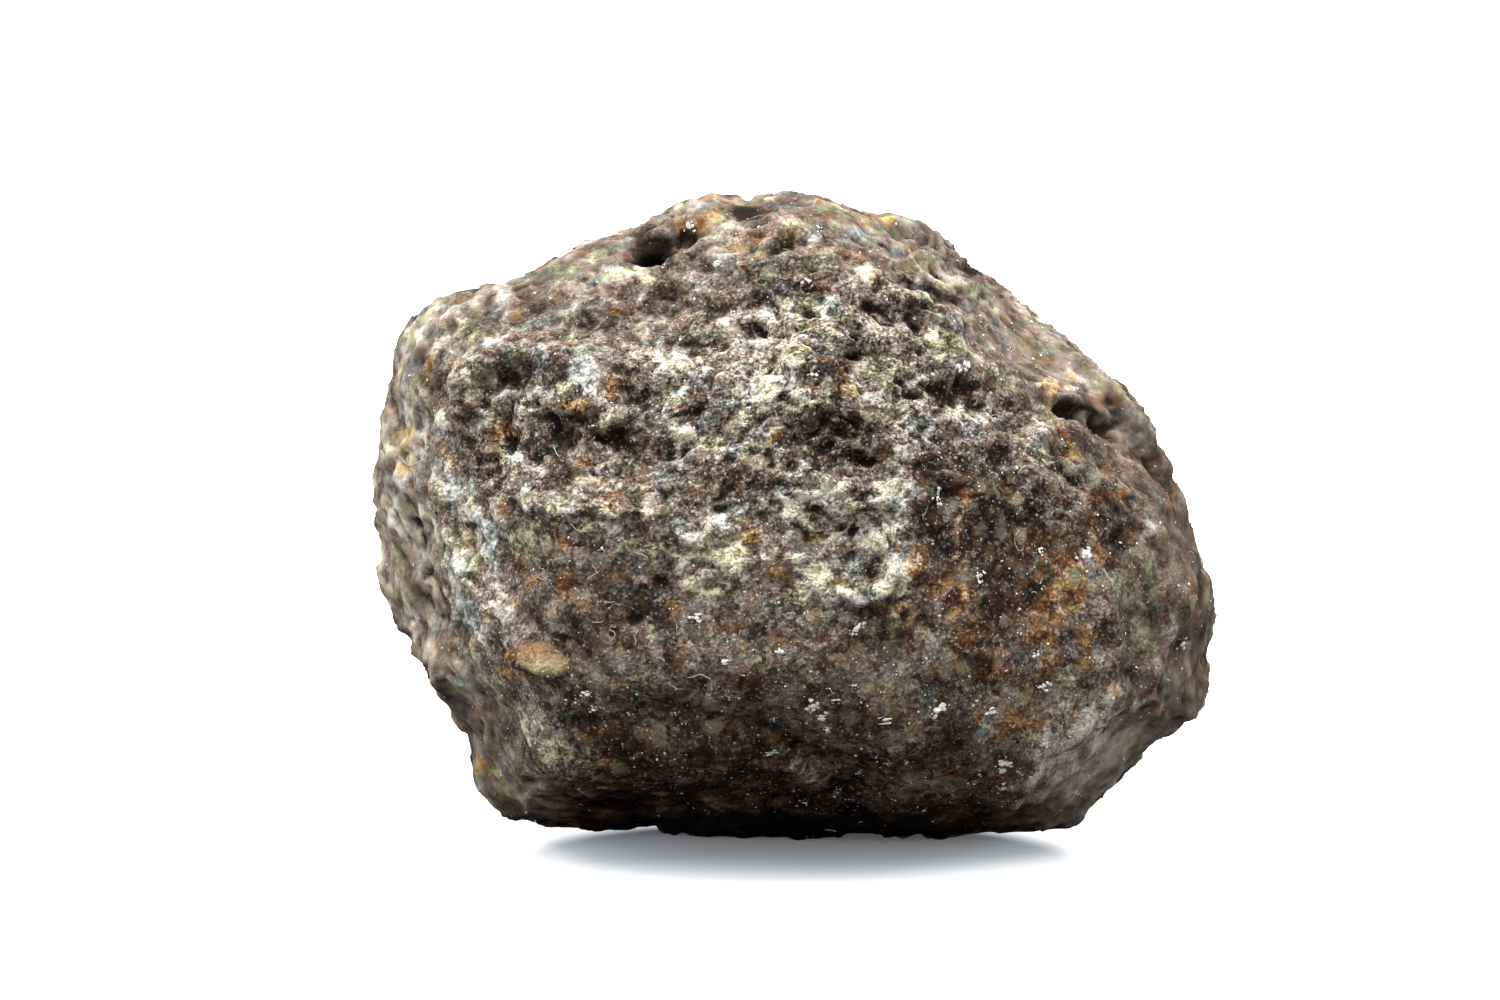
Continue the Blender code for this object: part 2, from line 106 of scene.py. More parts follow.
# Relief of the front: name, line of places seen, half width, height (sunk if negative)
FRONT_RELIEF = (
    ("arch_ridge", ((-15.2, 4.6), (-14.6, 6.3), (-13.4, 7.1), (-12, 7.3), (-9, 6.9)), 1, 0.65),
    ("arch_hollow", ((-12.6, 6.2), (-10.4, 4.6)), 0.9, -0.4),
    ("front_hollow", ((-13, 3.4), (-11, 3.8), (-8.6, 3.2), (-6.2, 3.2)), 1.5, -1),
    ("hollow_lip", ((-13.2, 0.7), (-11, 0.9), (-8.6, 0.7), (-6.4, 0.6)), 0.8, 0.35),
    (
        "flank_edge",
        ((-16.2, 3.2), (-15.4, 1.2), (-14.9, -1.4), (-13.6, -3.6), (-12.4, -5.2)), 0.9, 0.5,
    ),
    ("flank_hollow", ((-17.2, -0.6), (-16.7, -3.2), (-15.7, -5)), 1, -0.5),
    ("left_ridge_high", ((-18.2, 5), (-17.9, 3.2), (-17.2, 1.6)), 0.8, 0.5),
    ("left_ridge_low", ((-18.5, -2.2), (-17.4, -4.6), (-15.9, -6.4), (-15, -8.8)), 0.9, 0.6),
    ("top_swale", ((-13.4, 9.2), (-9, 8.8), (-6, 9.6)), 1.4, -0.45),
    ("top_ledge", ((-9.2, 11.2), (-6.6, 10.9), (-3.4, 10.2), (-0.6, 10.8)), 1.1, 0.45),
    ("black_pit", ((-6.5, 12.1), (-5.7, 12.3)), 0.9, -1.5),
    ("brown_pit", ((-5, 12.7), (-4.7, 12.8)), 0.7, -0.6),
    ("pit_rim", ((-7, 13), (-5.6, 13.5), (-4.2, 13.3)), 0.7, 0.4),
    ("crest_pit", ((-2.8, 13.8), (-1.9, 13.9)), 0.7, -0.6),
    ("right_edge_pit", ((7.6, 11.4), (8.4, 11.2)), 0.8, -0.7),
    ("pit_chain_high", ((4.8, 11), (5.8, 10.4), (7.2, 9.8)), 0.75, -0.45),
    ("pit_chain_low", ((3.5, 9.8), (4.6, 9.3), (5.6, 8.7)), 0.75, -0.4),
    ("pit_chain_ridge", ((3.4, 11.2), (5, 10.1), (7, 8.7)), 0.6, 0.35),
    ("middle_pit", ((-4.4, 8), (-1.6, 8.7)), 0.8, -0.3),
    ("olive_pit", ((-7.6, 6.1), (-6.8, 6)), 0.8, -0.35),
    ("centre_lump", ((0.4, 7), (1, 5.6)), 1.1, 0.8),
    ("centre_hollow", ((1.6, 3.4), (3, 3)), 1.1, -0.6),
    ("grey_hollow", ((3.6, 6.8), (5, 6.2)), 1.3, -0.5),
    ("right_ledge", ((5.8, 6.9), (8.2, 6.9), (10.6, 6.2), (13.4, 5.6)), 0.9, 0.45),
    ("brown_hollow", ((7, 5.6), (9.4, 5.4)), 1, -0.5),
    ("right_slot", ((11.8, 5.2), (13, 4.8), (14.2, 4.3)), 0.8, -0.5),
    ("cream_ledge", ((0.6, 1.2), (2.6, 1.4), (4.4, 0.2), (4.8, -2.2), (3, -3.4)), 0.8, 0.4),
    ("cream_hollow", ((2.4, -0.4), (2.6, -1.8)), 0.8, -0.3),
    ("matrix_lump", ((-4.4, -1.4), (-2.8, -1.8)), 1.2, 0.45),
    ("matrix_groove", ((-5, -2), (-6.2, -3.2), (-7, -4.6)), 0.7, -0.3),
    ("chondrule", ((-11.9, -6.05), (-10.9, -6.4)), 0.85, 0.75),
    ("chondrule_groove", ((-12.4, -5), (-11, -5), (-9.6, -6)), 0.6, -0.35),
    ("chin_swell", ((-6, -6.6), (-1, -7.2), (3, -8.6), (6, -10.2)), 1.8, 0.45),
    ("under_groove", ((-9, -9.4), (-5, -9), (-1, -9.6), (2.6, -11.8)), 1.1, -0.5),
    ("clast_lump", ((0.1, -11.3), (1.2, -11.7)), 1.2, 0.5),
    ("left_low_lump", ((-11.4, -10.2), (-10.2, -10.9)), 1.5, 0.5),
    ("left_foot_lump", ((-14, -10.4), (-13.8, -11.4)), 0.9, 0.45),
    ("foot_notch", ((-4.6, -13.6), (-4.2, -12.6)), 1.1, -0.5),
    ("foot_scoop_left", ((-7, -13.9), (-5.6, -13.9)), 0.9, -0.5),
    ("foot_scoop_right", ((2.2, -14.1), (5, -14.1), (7.8, -14)), 0.9, -0.5),
    (
        "right_flank_edge",
        ((16.4, 2.6), (16.2, 0.2), (15.2, -1.8), (14.2, -4.2), (14.4, -7.6), (16.2, -8.3)),
        0.8, 0.35,
    ),
    ("right_flank_hollow", ((15.6, -3.4), (15.2, -6.4)), 1.3, -0.25),
    ("right_flank_fold", ((17.4, -1.8), (16.9, -4.2), (16.3, -6.8)), 0.9, 0.35),
    ("right_end_lump", ((18.2, -7.4), (17.4, -8.7)), 1.1, 0.55),
    ("right_foot_hollow", ((11.6, -11), (14.2, -9.6)), 1.6, -0.35),
    ("right_foot_ridge", ((9.8, -12.6), (11.2, -10.4), (13.6, -8.8)), 0.9, 0.45),
)

# Relief of the hidden sides: its places are degrees round and degrees up
FAR_RELIEF = (
    ("left_end_ledge", ((-84, 34), (-92, 12), (-86, -10)), 1.3, 0.7),
    ("left_end_hollow", ((-104, 24), (-100, -2), (-104, -22)), 1.7, -0.9),
    ("left_end_lump", ((-90, -26), (-78, -38)), 2, 0.6),
    ("left_back_ridge", ((-122, 50), (-126, 20), (-118, -14), (-124, -38)), 1.5, 0.8),
    ("left_back_pit", ((-134, 30), (-139, 24)), 1.1, -1.3),
    ("back_ledge", ((-150, 10), (-168, 16), (172, 8), (154, 14)), 1.5, 0.9),
    ("back_hollow", ((-158, -8), (-176, -4), (166, -10)), 2.2, -1.3),
    ("back_pit_high", ((178, 38), (170, 42)), 1.2, -1.5),
    ("back_pit_mid", ((-160, 33), (-165, 28)), 0.9, -1),
    ("back_pit_right", ((146, 32), (150, 26)), 1, -1.1),
    ("back_lump", ((-152, -26), (-166, -30)), 2.2, 0.8),
    ("back_right_ridge", ((134, 54), (126, 28), (132, 0), (122, -30)), 1.5, 0.8),
    ("back_right_hollow", ((112, 20), (110, -6)), 2, -1.1),
    ("back_right_pit", ((116, -26), (109, -30)), 1.1, -1.2),
    ("right_end_ledge", ((96, 34), (90, 16), (96, -4)), 1.2, 0.7),
    ("right_end_groove", ((84, 22), (88, -2), (84, -20)), 1.2, -0.7),
    ("right_low_lump", ((92, -34), (80, -44)), 1.8, 0.6),
    ("crest_ridge", ((-60, 62), (-20, 74), (60, 78), (110, 60)), 1.3, 0.6),
    ("crest_hollow", ((-120, 68), (-170, 72), (150, 64)), 1.8, -0.8),
    ("crest_pit", ((96, 66), (84, 70)), 1, -1.2),
    ("under_hollow_back", ((-160, -58), (170, -56)), 2.2, -0.8),
    ("under_lump_left", ((-104, -58), (-80, -60)), 1.8, 0.5),
)

# Small ledges and lips of the front, as in FRONT_RELIEF
LEDGES = (
    ("tan_ledge", ((-11.4, 5.3), (-10.4, 5.15), (-9.4, 5.3)), 0.28, 0.3),
    ("pink_ledge", ((-10.6, 2.4), (-9.2, 2.65), (-8.2, 3)), 0.3, 0.3),
    ("arch_lip", ((-15, 5), (-14.7, 6.1), (-13.8, 6.9), (-12.6, 7.4), (-11.6, 7.3)), 0.35, 0.3),
    ("flank_lip", ((-15.6, 1.8), (-15, -0.6), (-14.3, -2.4), (-13.4, -4)), 0.35, 0.25),
    ("high_lip", ((-2.2, 11), (-0.4, 11.3), (0.9, 10.6), (2.2, 10.9)), 0.4, 0.3),
    ("middle_lip", ((-7.4, 7), (-5.4, 7), (-3.2, 6.4), (-2.2, 6.9)), 0.4, 0.35),
    ("cobble_arc", ((-0.9, 12), (-0.1, 12.4), (0.9, 12.3)), 0.35, 0.3),
    ("knob_lip", ((1.8, 8), (3, 7.9), (4, 8.2)), 0.35, 0.3),
    ("dark_lip", ((1.4, 4.9), (2.6, 4.8), (3.6, 4.4)), 0.35, 0.3),
    ("slot_lip", ((11.6, 5.7), (12.8, 5.4), (14.2, 4.9)), 0.3, 0.3),
    ("cream_curl", ((2.3, -3.2), (3.2, -3.7), (4.1, -3), (4.4, -2)), 0.3, 0.25),
    (
        "ring_curl",
        ((4.4, -4.5), (4.4, -3.9), (5, -3.75), (5.4, -4.2), (5, -4.8), (4.4, -4.6)), 0.22, 0.22,
    ),
    ("pit_knob", ((-5.35, 12.5), (-5.2, 12.7)), 0.3, 0.55),
    ("rim_knob", ((-3.6, 11.5), (-2.9, 11.3)), 0.4, 0.35),
    ("clast_rim", ((-0.6, -11), (0.2, -10.5), (1.1, -10.6), (1.8, -11.2)), 0.3, -0.22),
    ("low_grain", ((5.4, -9.3), (5.6, -9.4)), 0.28, 0.3),
    ("foot_grain", ((-14.2, -10.9), (-14.15, -11.2)), 0.35, 0.25),
    ("pink_lump", ((7.9, -5.9), (8.7, -6.1)), 0.45, 0.2),
)

# Small pits of the front: two ends of each, half width, depth
PITS = (
    ((-6.6, 12), (-5.9, 12.25), 0.55, 1.04), ((-4.9, 12.5), (-4.6, 12.9), 0.42, 0.2),
    ((-2.7, 13.8), (-1.9, 13.85), 0.42, 0.49), ((-4.2, 13.7), (-3.8, 13.8), 0.35, 0.17),
    ((7.6, 11.4), (8.2, 11.3), 0.42, 0.64), ((5.1, 12.4), (5.7, 12.5), 0.3, 0.17),
    ((5, 11), (5.4, 10.8), 0.42, 0.25), ((5.7, 10.5), (6, 10.3), 0.45, 0.29),
    ((6.9, 10), (7.5, 9.7), 0.4, 0.25), ((3.5, 9.4), (4.4, 9), 0.5, 0.25),
    ((4.8, 8.9), (5.5, 8.6), 0.4, 0.21), ((2, 11.35), (2.7, 11.2), 0.28, 0.17),
    ((0.7, 9.5), (1.4, 9.4), 0.4, 0.21), ((-2.2, 8.75), (-1.5, 8.65), 0.38, 0.23),
    ((-5, 8.2), (-3.9, 7.9), 0.5, 0.19), ((-5.6, 10.15), (-4.6, 10), 0.35, 0.19),
    ((-4.4, 9.7), (-3.5, 9.35), 0.3, 0.17), ((-8.3, 10.35), (-7.6, 10.2), 0.36, 0.19),
    ((-9.7, 10.6), (-9.3, 10.6), 0.32, 0.15), ((-9.7, 9.5), (-9.2, 9.3), 0.36, 0.17),
    ((-7.6, 8.6), (-7.2, 8.6), 0.35, 0.15), ((-1.4, 10.4), (-1.1, 10.2), 0.35, 0.21),
    ((-14.1, 7.85), (-13.3, 7.8), 0.25, 0.15), ((-16.9, 8.5), (-16.7, 8.5), 0.3, 0.13),
    ((-16.8, 6.8), (-16.5, 6.7), 0.35, 0.15), ((-12.7, 6.4), (-11.9, 6.6), 0.45, 0.21),
    ((-13.7, 6.2), (-13.3, 6.3), 0.32, 0.15), ((-15.6, 5.7), (-15.6, 5.1), 0.3, 0.15),
    ((-7.4, 6.1), (-7, 6.1), 0.42, 0.21), ((-6.3, 6.2), (-6, 5.9), 0.35, 0.17),
    ((1.6, 7.7), (2.8, 7.6), 0.34, 0.21), ((7.2, 6.3), (8.3, 6), 0.6, 0.21),
    ((10.2, 6.4), (11, 6.3), 0.3, 0.17), ((12.2, 5.3), (13.2, 5), 0.35, 0.39),
    ((13.4, 4.8), (14.1, 4.4), 0.35, 0.39), ((2.4, 4.5), (3.2, 4.1), 0.34, 0.19),
    ((1.2, 3.4), (1.6, 2.9), 0.5, 0.19), ((-10.8, 4.7), (-9.6, 4.7), 0.34, 0.17),
    ((-8.8, 3.8), (-7.4, 3.7), 0.45, 0.15), ((-6.6, 3.4), (-5.8, 3.6), 0.45, 0.15),
    ((-11.8, 1.7), (-10.3, 1.6), 0.36, 0.19), ((-7.8, 1.9), (-7.2, 1.9), 0.35, 0.13),
    ((-16.6, -0.5), (-16.5, -1), 0.22, 0.44), ((-15.1, -4.6), (-15, -4.8), 0.3, 0.13),
    ((-7.3, -4.2), (-7.1, -4.4), 0.3, 0.2), ((-6.5, -3), (-6.2, -3.2), 0.3, 0.1),
    ((-10.6, -4.7), (-9.9, -4.6), 0.3, 0.1), ((-1.6, -5), (-1.3, -4.9), 0.35, 0.1),
    ((2.6, -0.4), (3, -0.6), 0.4, 0.15), ((3.3, -2), (3.5, -2.5), 0.34, 0.15),
    ((0.8, 0.6), (1, 0.5), 0.36, 0.15), ((-0.2, -0.4), (0.2, -0.5), 0.3, 0.13),
    ((13.9, -5.5), (14, -5.6), 0.28, 0.17), ((14.6, -6.8), (15, -7), 0.6, 0.15),
    ((9.6, 9.1), (10.1, 8.8), 0.3, 0.13), ((-18.3, 1.4), (-18.2, 0.8), 0.4, 0.17),
    ((-13, 9.3), (-12.4, 9.2), 0.4, 0.13), ((-0.6, 6), (-0.3, 5.4), 0.3, 0.15),
    ((5, 4), (5.4, 3.8), 0.3, 0.13), ((8.9, 3.2), (9.4, 3), 0.45, 0.15),
    ((6, 3.1), (6.2, 2.7), 0.35, 0.15), ((10.9, -0.9), (11.2, -1), 0.35, 0.1),
)

# Smooth places, where crags die away: place seen, half width, half height
SMOOTH_PATCHES = (
    (-1, -8.2, 14, 5.2), (-8.6, -3.4, 4.6, 4.6), (9.6, -7, 5.2, 4.6),
)

# What the ground is like round spots of the front: place seen, reach, how much pale crust
# covers it, how rough it is, and how rusty brown
GROUND = (
    (-6.2, 12.2, 0.8, 0.2, 1, 0.2), (-4.8, 12.8, 0.7, 0.3, 1, 0.8),
    (-15, 8.6, 2.4, 0.52, 0.35, 0.05), (-10, 9.6, 2.6, 0.32, 0.35, 0.1),
    (-5, 9.4, 2.4, 0.31, 0.45, 0.1), (-8.4, 7.8, 1.8, 0.38, 0.42, 0.1),
    (-3.2, 12.6, 2, 0.42, 0.3, 0.3), (0.6, 12.4, 2.2, 0.38, 0.45, 0.15),
    (3.4, 13.6, 1.6, 0.42, 0.2, 0.3), (6.4, 10.6, 2, 0.42, 0.7, 0.15),
    (10.4, 8.6, 2.2, 0.45, 0.2, 0.3), (13.4, 6, 1.6, 0.47, 0.3, 0.25),
    (0, 8.6, 1.8, 0.44, 0.9, 0.1), (4.2, 7, 1.8, 0.42, 0.8, 0.15),
    (-1.2, 6.4, 1.3, 0.62, 0.8, 0.05), (1.4, 6, 1.1, 0.3, 0.9, 0.25),
    (-4.6, 6.4, 1.6, 0.5, 0.8, 0.1), (-9.8, 6.4, 1.3, 0.62, 0.6, 0.05),
    (-13.2, 6, 1.5, 0.5, 0.8, 0.1), (-16.6, 5.4, 1.8, 0.56, 0.45, 0.15),
    (-12.4, 3.8, 1.5, 0.4, 0.8, 0.3), (-8.2, 3.4, 1.8, 0.26, 0.7, 0.25),
    (-5, 3.8, 1.3, 0.46, 0.7, 0.1), (-16.8, 1, 1.6, 0.6, 0.5, 0.15),
    (-14.8, -0.6, 1.1, 0.66, 0.3, 0.05), (-17.4, -3, 1.4, 0.58, 0.4, 0.1),
    (-15.4, -5.6, 1.6, 0.54, 0.4, 0.05), (-10.2, 0.7, 1.4, 0.54, 0.55, 0.15),
    (-6.6, 0.5, 1.3, 0.56, 0.55, 0.15), (-10, 2.2, 1.2, 0.34, 0.6, 0.3),
    (-9.4, -2.2, 2, 0.2, 0.2, 0.2), (-6.2, -1.8, 1.4, 0.3, 0.35, 0.05),
    (-3.6, -1.6, 1.5, 0.72, 0.4, 0.05), (-3.4, 2, 1.8, 0.38, 0.6, 0.15),
    (-0.6, 3.6, 1.5, 0.4, 0.8, 0.15), (2.4, 3.4, 1.4, 0.2, 0.8, 0.1),
    (5.2, 4.6, 1.3, 0.48, 0.7, 0.05), (8.2, 4.6, 1.4, 0.5, 0.7, 0.1),
    (11.4, 4.2, 1.4, 0.41, 0.6, 0.3), (3.2, 0.8, 1.6, 0.74, 0.7, 0.05),
    (4.4, -2.2, 1.2, 0.52, 0.5, 0.15), (1, -2.4, 1.4, 0.46, 0.5, 0.15),
    (0.2, -4.4, 1.6, 0.18, 0.3, 0.25), (3.8, -4.2, 1.2, 0.26, 0.35, 0.25),
    (7.4, 1.2, 1.6, -0.03, 0.45, 0.5), (11.8, 1.6, 1.8, 0.06, 0.5, 0.5),
    (14.4, 2, 1.2, 0.2, 0.35, 0.25), (9, -1.8, 2, -0.08, 0.3, 0.75),
    (12.6, -3.4, 1.4, 0.34, 0.25, 0.8), (7.4, -5.2, 2, 0.18, 0.22, 0.75),
    (11, -7, 1.8, 0.37, 0.2, 0.6), (15.6, -4, 1.6, 0.24, 0.05, 0),
    (17.8, -4.4, 1.2, 0.1, 0.15, 0.3), (16.4, -8.2, 1.3, 0.4, 0.2, 0.15),
    (12.6, -10.4, 1.8, 0.62, 0.05, 0), (9.6, -9.6, 1.4, 0.38, 0.15, 0.4),
    (-1, -7.6, 3.4, 0.24, 0.1, 0.12), (4.6, -8.4, 2.4, 0.3, 0.1, 0.2),
    (-7, -6.8, 2.4, 0.22, 0.12, 0.12), (-12.4, -7.4, 1.8, 0.34, 0.25, 0.2),
    (-10.8, -10.6, 1.3, 0.44, 0.3, 0.1), (-5, -11, 2.6, -0.02, 0.2, 0.5),
    (1, -12.2, 2.4, -0.14, 0.2, 0.5), (7, -12.2, 2, 0.2, 0.15, 0.3),
    (10.4, -12.6, 1.4, 0.5, 0.1, 0.1),
)
# The same three for the sides that the front viewpoint doesn't see
FAR_GROUND = (0.46, 0.55, 0.3)

# Stains: place seen, width, height, and tilt in degrees where there is one
STAINS: dict[str, tuple[Ellipse, ...]] = {
    "cream": (
        (-1.25, 6.5, 1.1, 1.9), (1.8, 1.5, 1.1, 0.9), (2.5, 0.7, 1.6, 0.5, -40),
        (4.1, 1.3, 1.3, 0.8, 10), (0.1, 0.3, 2.2, 0.55, -45), (3.5, -0.8, 2.4, 0.6, -42),
        (4.5, -2.3, 0.6, 1.4, 10), (2.1, -3, 0.9, 0.8), (3.9, -3.1, 1, 0.6, 20),
        (4.5, -4.3, 0.5, 1), (1.1, -2.5, 1, 1.3), (0.3, -3.3, 1, 0.8), (0.1, -1.7, 0.7, 1),
        (-5.2, 4.1, 0.9, 1.4, 15), (-8.4, 4.4, 0.5, 1.3), (-4.6, -2.7, 1.2, 0.5, 25),
        (-3.5, -3, 0.9, 0.6), (4.9, -3.2, 0.6, 0.5), (-7.8, 11.1, 1.9, 0.6, 5),
        (-6.6, 10.9, 0.9, 0.5), (-0.4, 9.7, 0.6, 0.6), (-9.1, 11.8, 0.7, 0.5),
        (3.2, 11.1, 0.8, 0.5, -20), (-0.3, 7.3, 0.7, 0.6), (11.2, 2.8, 0.6, 0.7),
        (6.2, 1.7, 0.6, 0.5), (-2.2, 4.7, 0.5, 0.8), (-14.7, 6.2, 0.4, 1.4, -15),
        (-13.9, 7.1, 1.2, 0.35, 30), (0.4, 5.2, 0.5, 0.4), (5.7, -4.9, 0.7, 0.4),
        (-9.9, 8.2, 0.9, 0.4, 20), (9.6, 5, 0.6, 0.5), (-3, 8.9, 1, 0.5, 10),
        (-17.2, 8.3, 0.6, 0.8, 50), (6.3, 8.4, 0.7, 0.8), (12.4, 5.9, 0.5, 0.4),
        (1.6, 5.6, 0.4, 0.5), (-3.4, 3.4, 0.5, 0.6),
    ),
    "ochre": (
        (-12.1, 1, 0.9, 0.7, -20), (-10.9, 0.6, 1.1, 0.6), (-8.1, 0.6, 0.9, 0.7),
        (-6.6, 0.3, 1, 0.9), (-7, 6.1, 0.9, 0.7), (-12.6, 6.6, 0.9, 0.5, 20),
        (-6.2, 6.8, 0.8, 0.5), (1.6, -0.7, 0.6, 0.6), (3.2, -0.2, 0.5, 0.4), (0.6, -1, 0.6, 0.5),
        (-9.4, -0.3, 1, 0.5), (-2.6, -2.4, 0.7, 0.5), (3.2, 2, 0.7, 0.4), (-0.4, -2.6, 0.5, 0.6),
        (2.2, -2.4, 0.5, 0.5), (10.9, -2, 1, 0.8), (7.2, 4.9, 0.7, 0.5), (4.7, 9.7, 0.8, 0.5, -20),
    ),
    "blue": (
        (2.7, -1.9, 0.6, 1.5), (3.15, -3.55, 2, 0.5, 5), (-9.6, 6.6, 1.5, 1.1),
        (-14.4, -4.4, 1.4, 1.9, 20), (7.8, 4.3, 1, 1.6), (5.5, 4.4, 1.5, 0.8),
        (-0.6, 1.3, 0.8, 0.5), (-9.95, -11.2, 0.5, 0.6), (4.6, 0.5, 0.8, 1),
        (-5.1, -0.1, 0.35, 1.2), (-15.3, 1.2, 0.9, 1.8, 20), (-13.7, -1, 0.7, 2.6, 20),
        (-4, 6.1, 1.2, 0.5, -10), (-1.2, 3.9, 0.9, 0.7), (2.6, 12.7, 1.2, 0.9), (9, 2.3, 0.6, 0.7),
        (-12.6, 3, 0.9, 0.6), (10.2, -6.2, 0.7, 0.5),
    ),
    "green": (
        (-3.6, -1.4, 3, 1.9, -5), (4.1, 6.7, 2.5, 2.1), (8.2, 5, 2, 0.8), (-16.3, 0.1, 1, 1.3),
        (-10.8, -10.4, 1.7, 1.3), (13.35, 2, 0.9, 1.1), (-6, -1.6, 1.8, 1.4),
        (-7.2, -7.6, 2.6, 0.8), (-9.2, -6.9, 1.2, 1), (15.4, -3.6, 2.2, 4.6),
        (12.3, -7.3, 1.4, 1.4), (-12.9, -8.6, 1.6, 1), (6.5, 7.7, 1.2, 0.9),
        (-1.4, -6.6, 2, 0.7, -10), (1.9, 4, 0.8, 1.2), (-17.6, -1.6, 0.9, 1.6),
        (11, -9.6, 1.6, 0.7), (3.4, -5.6, 1.5, 0.8), (-14.6, 8.9, 1.4, 0.6, 20),
        (-5.6, -11.2, 1.6, 0.8), (0.4, 8.6, 0.9, 0.5),
    ),
    "tan": (
        (-10.4, 5.25, 2, 0.35), (-17.35, 3.7, 0.8, 1.3), (-14.2, -11, 0.6, 0.8),
        (12.55, -3.8, 1.4, 1), (13.9, 1, 2, 0.5, 12), (-3, -4.9, 1.4, 0.8), (4.95, -4, 0.5, 0.5),
        (1.7, -0.6, 0.5, 0.5), (4, 13.6, 1.1, 0.5), (2.4, 14.2, 0.9, 0.5), (11.4, 6.1, 0.9, 1),
        (-8.2, 6, 0.5, 1.2), (3.6, 8.6, 0.9, 0.4), (10.6, -2.6, 1.6, 0.5), (9.2, -2.9, 2.2, 0.5),
        (-11.7, -2.6, 0.8, 0.6), (-12.7, -4, 0.8, 0.9, 30), (14.3, -7.4, 0.4, 1.4, 20),
        (-3.7, 13.6, 0.9, 0.4), (3.2, 11.9, 0.8, 0.4), (10.8, -4.6, 1.2, 0.8),
        (-15.8, -5.9, 0.8, 0.6), (-16, -3, 0.6, 0.7), (0.4, 1.6, 0.5, 0.4), (-13, -6.6, 0.9, 0.6),
        (6.6, -2.7, 0.35, 1, 5), (-5.6, 6.9, 0.9, 0.4),
    ),
    "rust": (
        (-12.9, 3.75, 1.2, 0.6, 20), (-13.1, 0.5, 0.5, 1), (9.75, 0.3, 0.9, 0.9),
        (5.8, -2.45, 1.1, 0.8), (6.2, -3.3, 1, 0.8), (-1.9, -0.6, 0.8, 0.7), (-0.9, 3.7, 0.8, 0.6),
        (2.1, 6.4, 0.7, 1.4), (8.3, 6.7, 0.5, 0.5), (-10.4, -2.9, 1.1, 0.9), (9, -7, 2.2, 0.8),
        (12.5, -8.7, 0.6, 0.5), (10.2, -9.2, 3, 0.6, 5), (-2.2, -7.3, 1.1, 0.6),
        (-5.2, 12.7, 0.6, 0.5), (-12.9, -6, 0.7, 0.5), (11.6, -5.4, 1.2, 0.9),
        (7.4, -0.8, 0.6, 0.9), (15.9, -7.6, 0.8, 0.5), (12, 3.6, 0.9, 0.5),
        (-3.4, -10.6, 1.6, 0.5), (17.9, -3.2, 0.6, 0.9), (-8.6, -9.6, 2, 0.5),
        (2.6, 5.9, 0.4, 0.6),
    ),
    "peach": (
        (-1.6, 12.7, 3.2, 0.9), (-3.2, 12.2, 1.4, 0.7), (6.2, 11.2, 1.6, 0.5, -30),
        (8.4, -6, 1.2, 0.6), (-9, 2.65, 2.6, 0.5, 8), (11.8, 1.6, 1.2, 0.7), (11.5, 0.1, 1.1, 0.6),
        (15.3, -0.6, 0.8, 0.5), (10.7, 4.4, 1.8, 0.7, -10), (-7.3, 1.7, 1.2, 0.4),
        (-1.2, 1, 0.6, 0.8), (9.6, 9.6, 1.6, 0.6, -35), (-15.6, 2.6, 0.8, 0.6),
        (-12.4, -5.2, 1.2, 0.5, -30), (12.6, 6.6, 1.4, 0.5, -30),
    ),
    "mauve": (
        (0.65, -11.4, 2.6, 1.9), (12.4, -9.8, 4.6, 1.6, 38), (13.8, -10.6, 4, 1.8, 40),
        (14.6, -9.6, 2.4, 0.5, 38), (17, -5.6, 0.8, 3, 10), (8.9, -5.3, 1.6, 0.7),
        (-12.9, -3.6, 0.6, 2.4, 25), (-17, -5, 0.8, 2.6, 30), (3.2, 9.9, 3, 0.7, -20),
        (-7, 9.8, 3.4, 0.6, 8), (-1, 8, 2.6, 0.5), (-5.6, 7.4, 3, 0.5), (6.8, 5.4, 2.6, 0.5),
        (1, 10.8, 3, 0.6), (-12, 8.4, 3, 0.6, 12),
    ),
    # Near-dark colour in pits, under overhangs and along the foot: painted shade
    "shade_black": (
        (-6.35, 12.05, 1.8, 1.2, 20), (-2.2, 13.75, 1.5, 0.7), (-4.9, 12.7, 0.9, 0.6),
        (7.9, 11.3, 1, 0.45, -25), (5.2, 10.8, 0.9, 0.3, -20), (6.1, 10.4, 0.8, 0.3, -25),
        (3.9, 9.3, 1, 0.3, -20), (5.2, 8.7, 0.7, 0.3, -20), (12.9, 5, 1.6, 0.3, -22),
        (7.1, 9.8, 0.6, 0.3, -20), (1.7, 4.3, 1.2, 0.5, -10), (2.6, 2.9, 1.4, 0.5),
        (-16.55, -0.7, 0.3, 0.9), (-7.25, -4.35, 0.5, 0.3), (-10.6, -5.2, 1.2, 0.2, -25),
        (2.6, -0.6, 0.5, 0.4), (3.4, -2.3, 0.4, 0.7), (0.9, 0.5, 0.5, 0.3), (8, 5.9, 1.2, 0.5),
        (-1.9, 8.65, 0.9, 0.25, -5), (-4.5, 8, 0.9, 0.25, -10), (-0.4, 5.5, 0.4, 0.5),
        (5.4, 3.8, 0.6, 0.4), (9.1, 3.1, 0.7, 0.4), (-5.1, 4.7, 1, 0.3), (-9.8, 4.5, 1.2, 0.3),
        (-7.9, 3.5, 1.6, 0.3), (-0.8, -14.2, 20, 2.1), (-8, -12.8, 3, 0.6), (4, 12.4, 0.6, 0.25),
    ),
    # Darker ground: partly dark rock, partly painted shade under ledges, in hollows and along the
    # foot
    "dark": (
        (-11.4, -5.25, 2.6, 0.4, -18), (-4.6, 4.9, 1.6, 0.7), (1, -12.9, 5, 0.8, -5),
        (-1.4, -11.6, 1, 2, 20), (2.6, -11.9, 0.9, 1.8, -30), (9.6, 5.4, 1.6, 0.8),
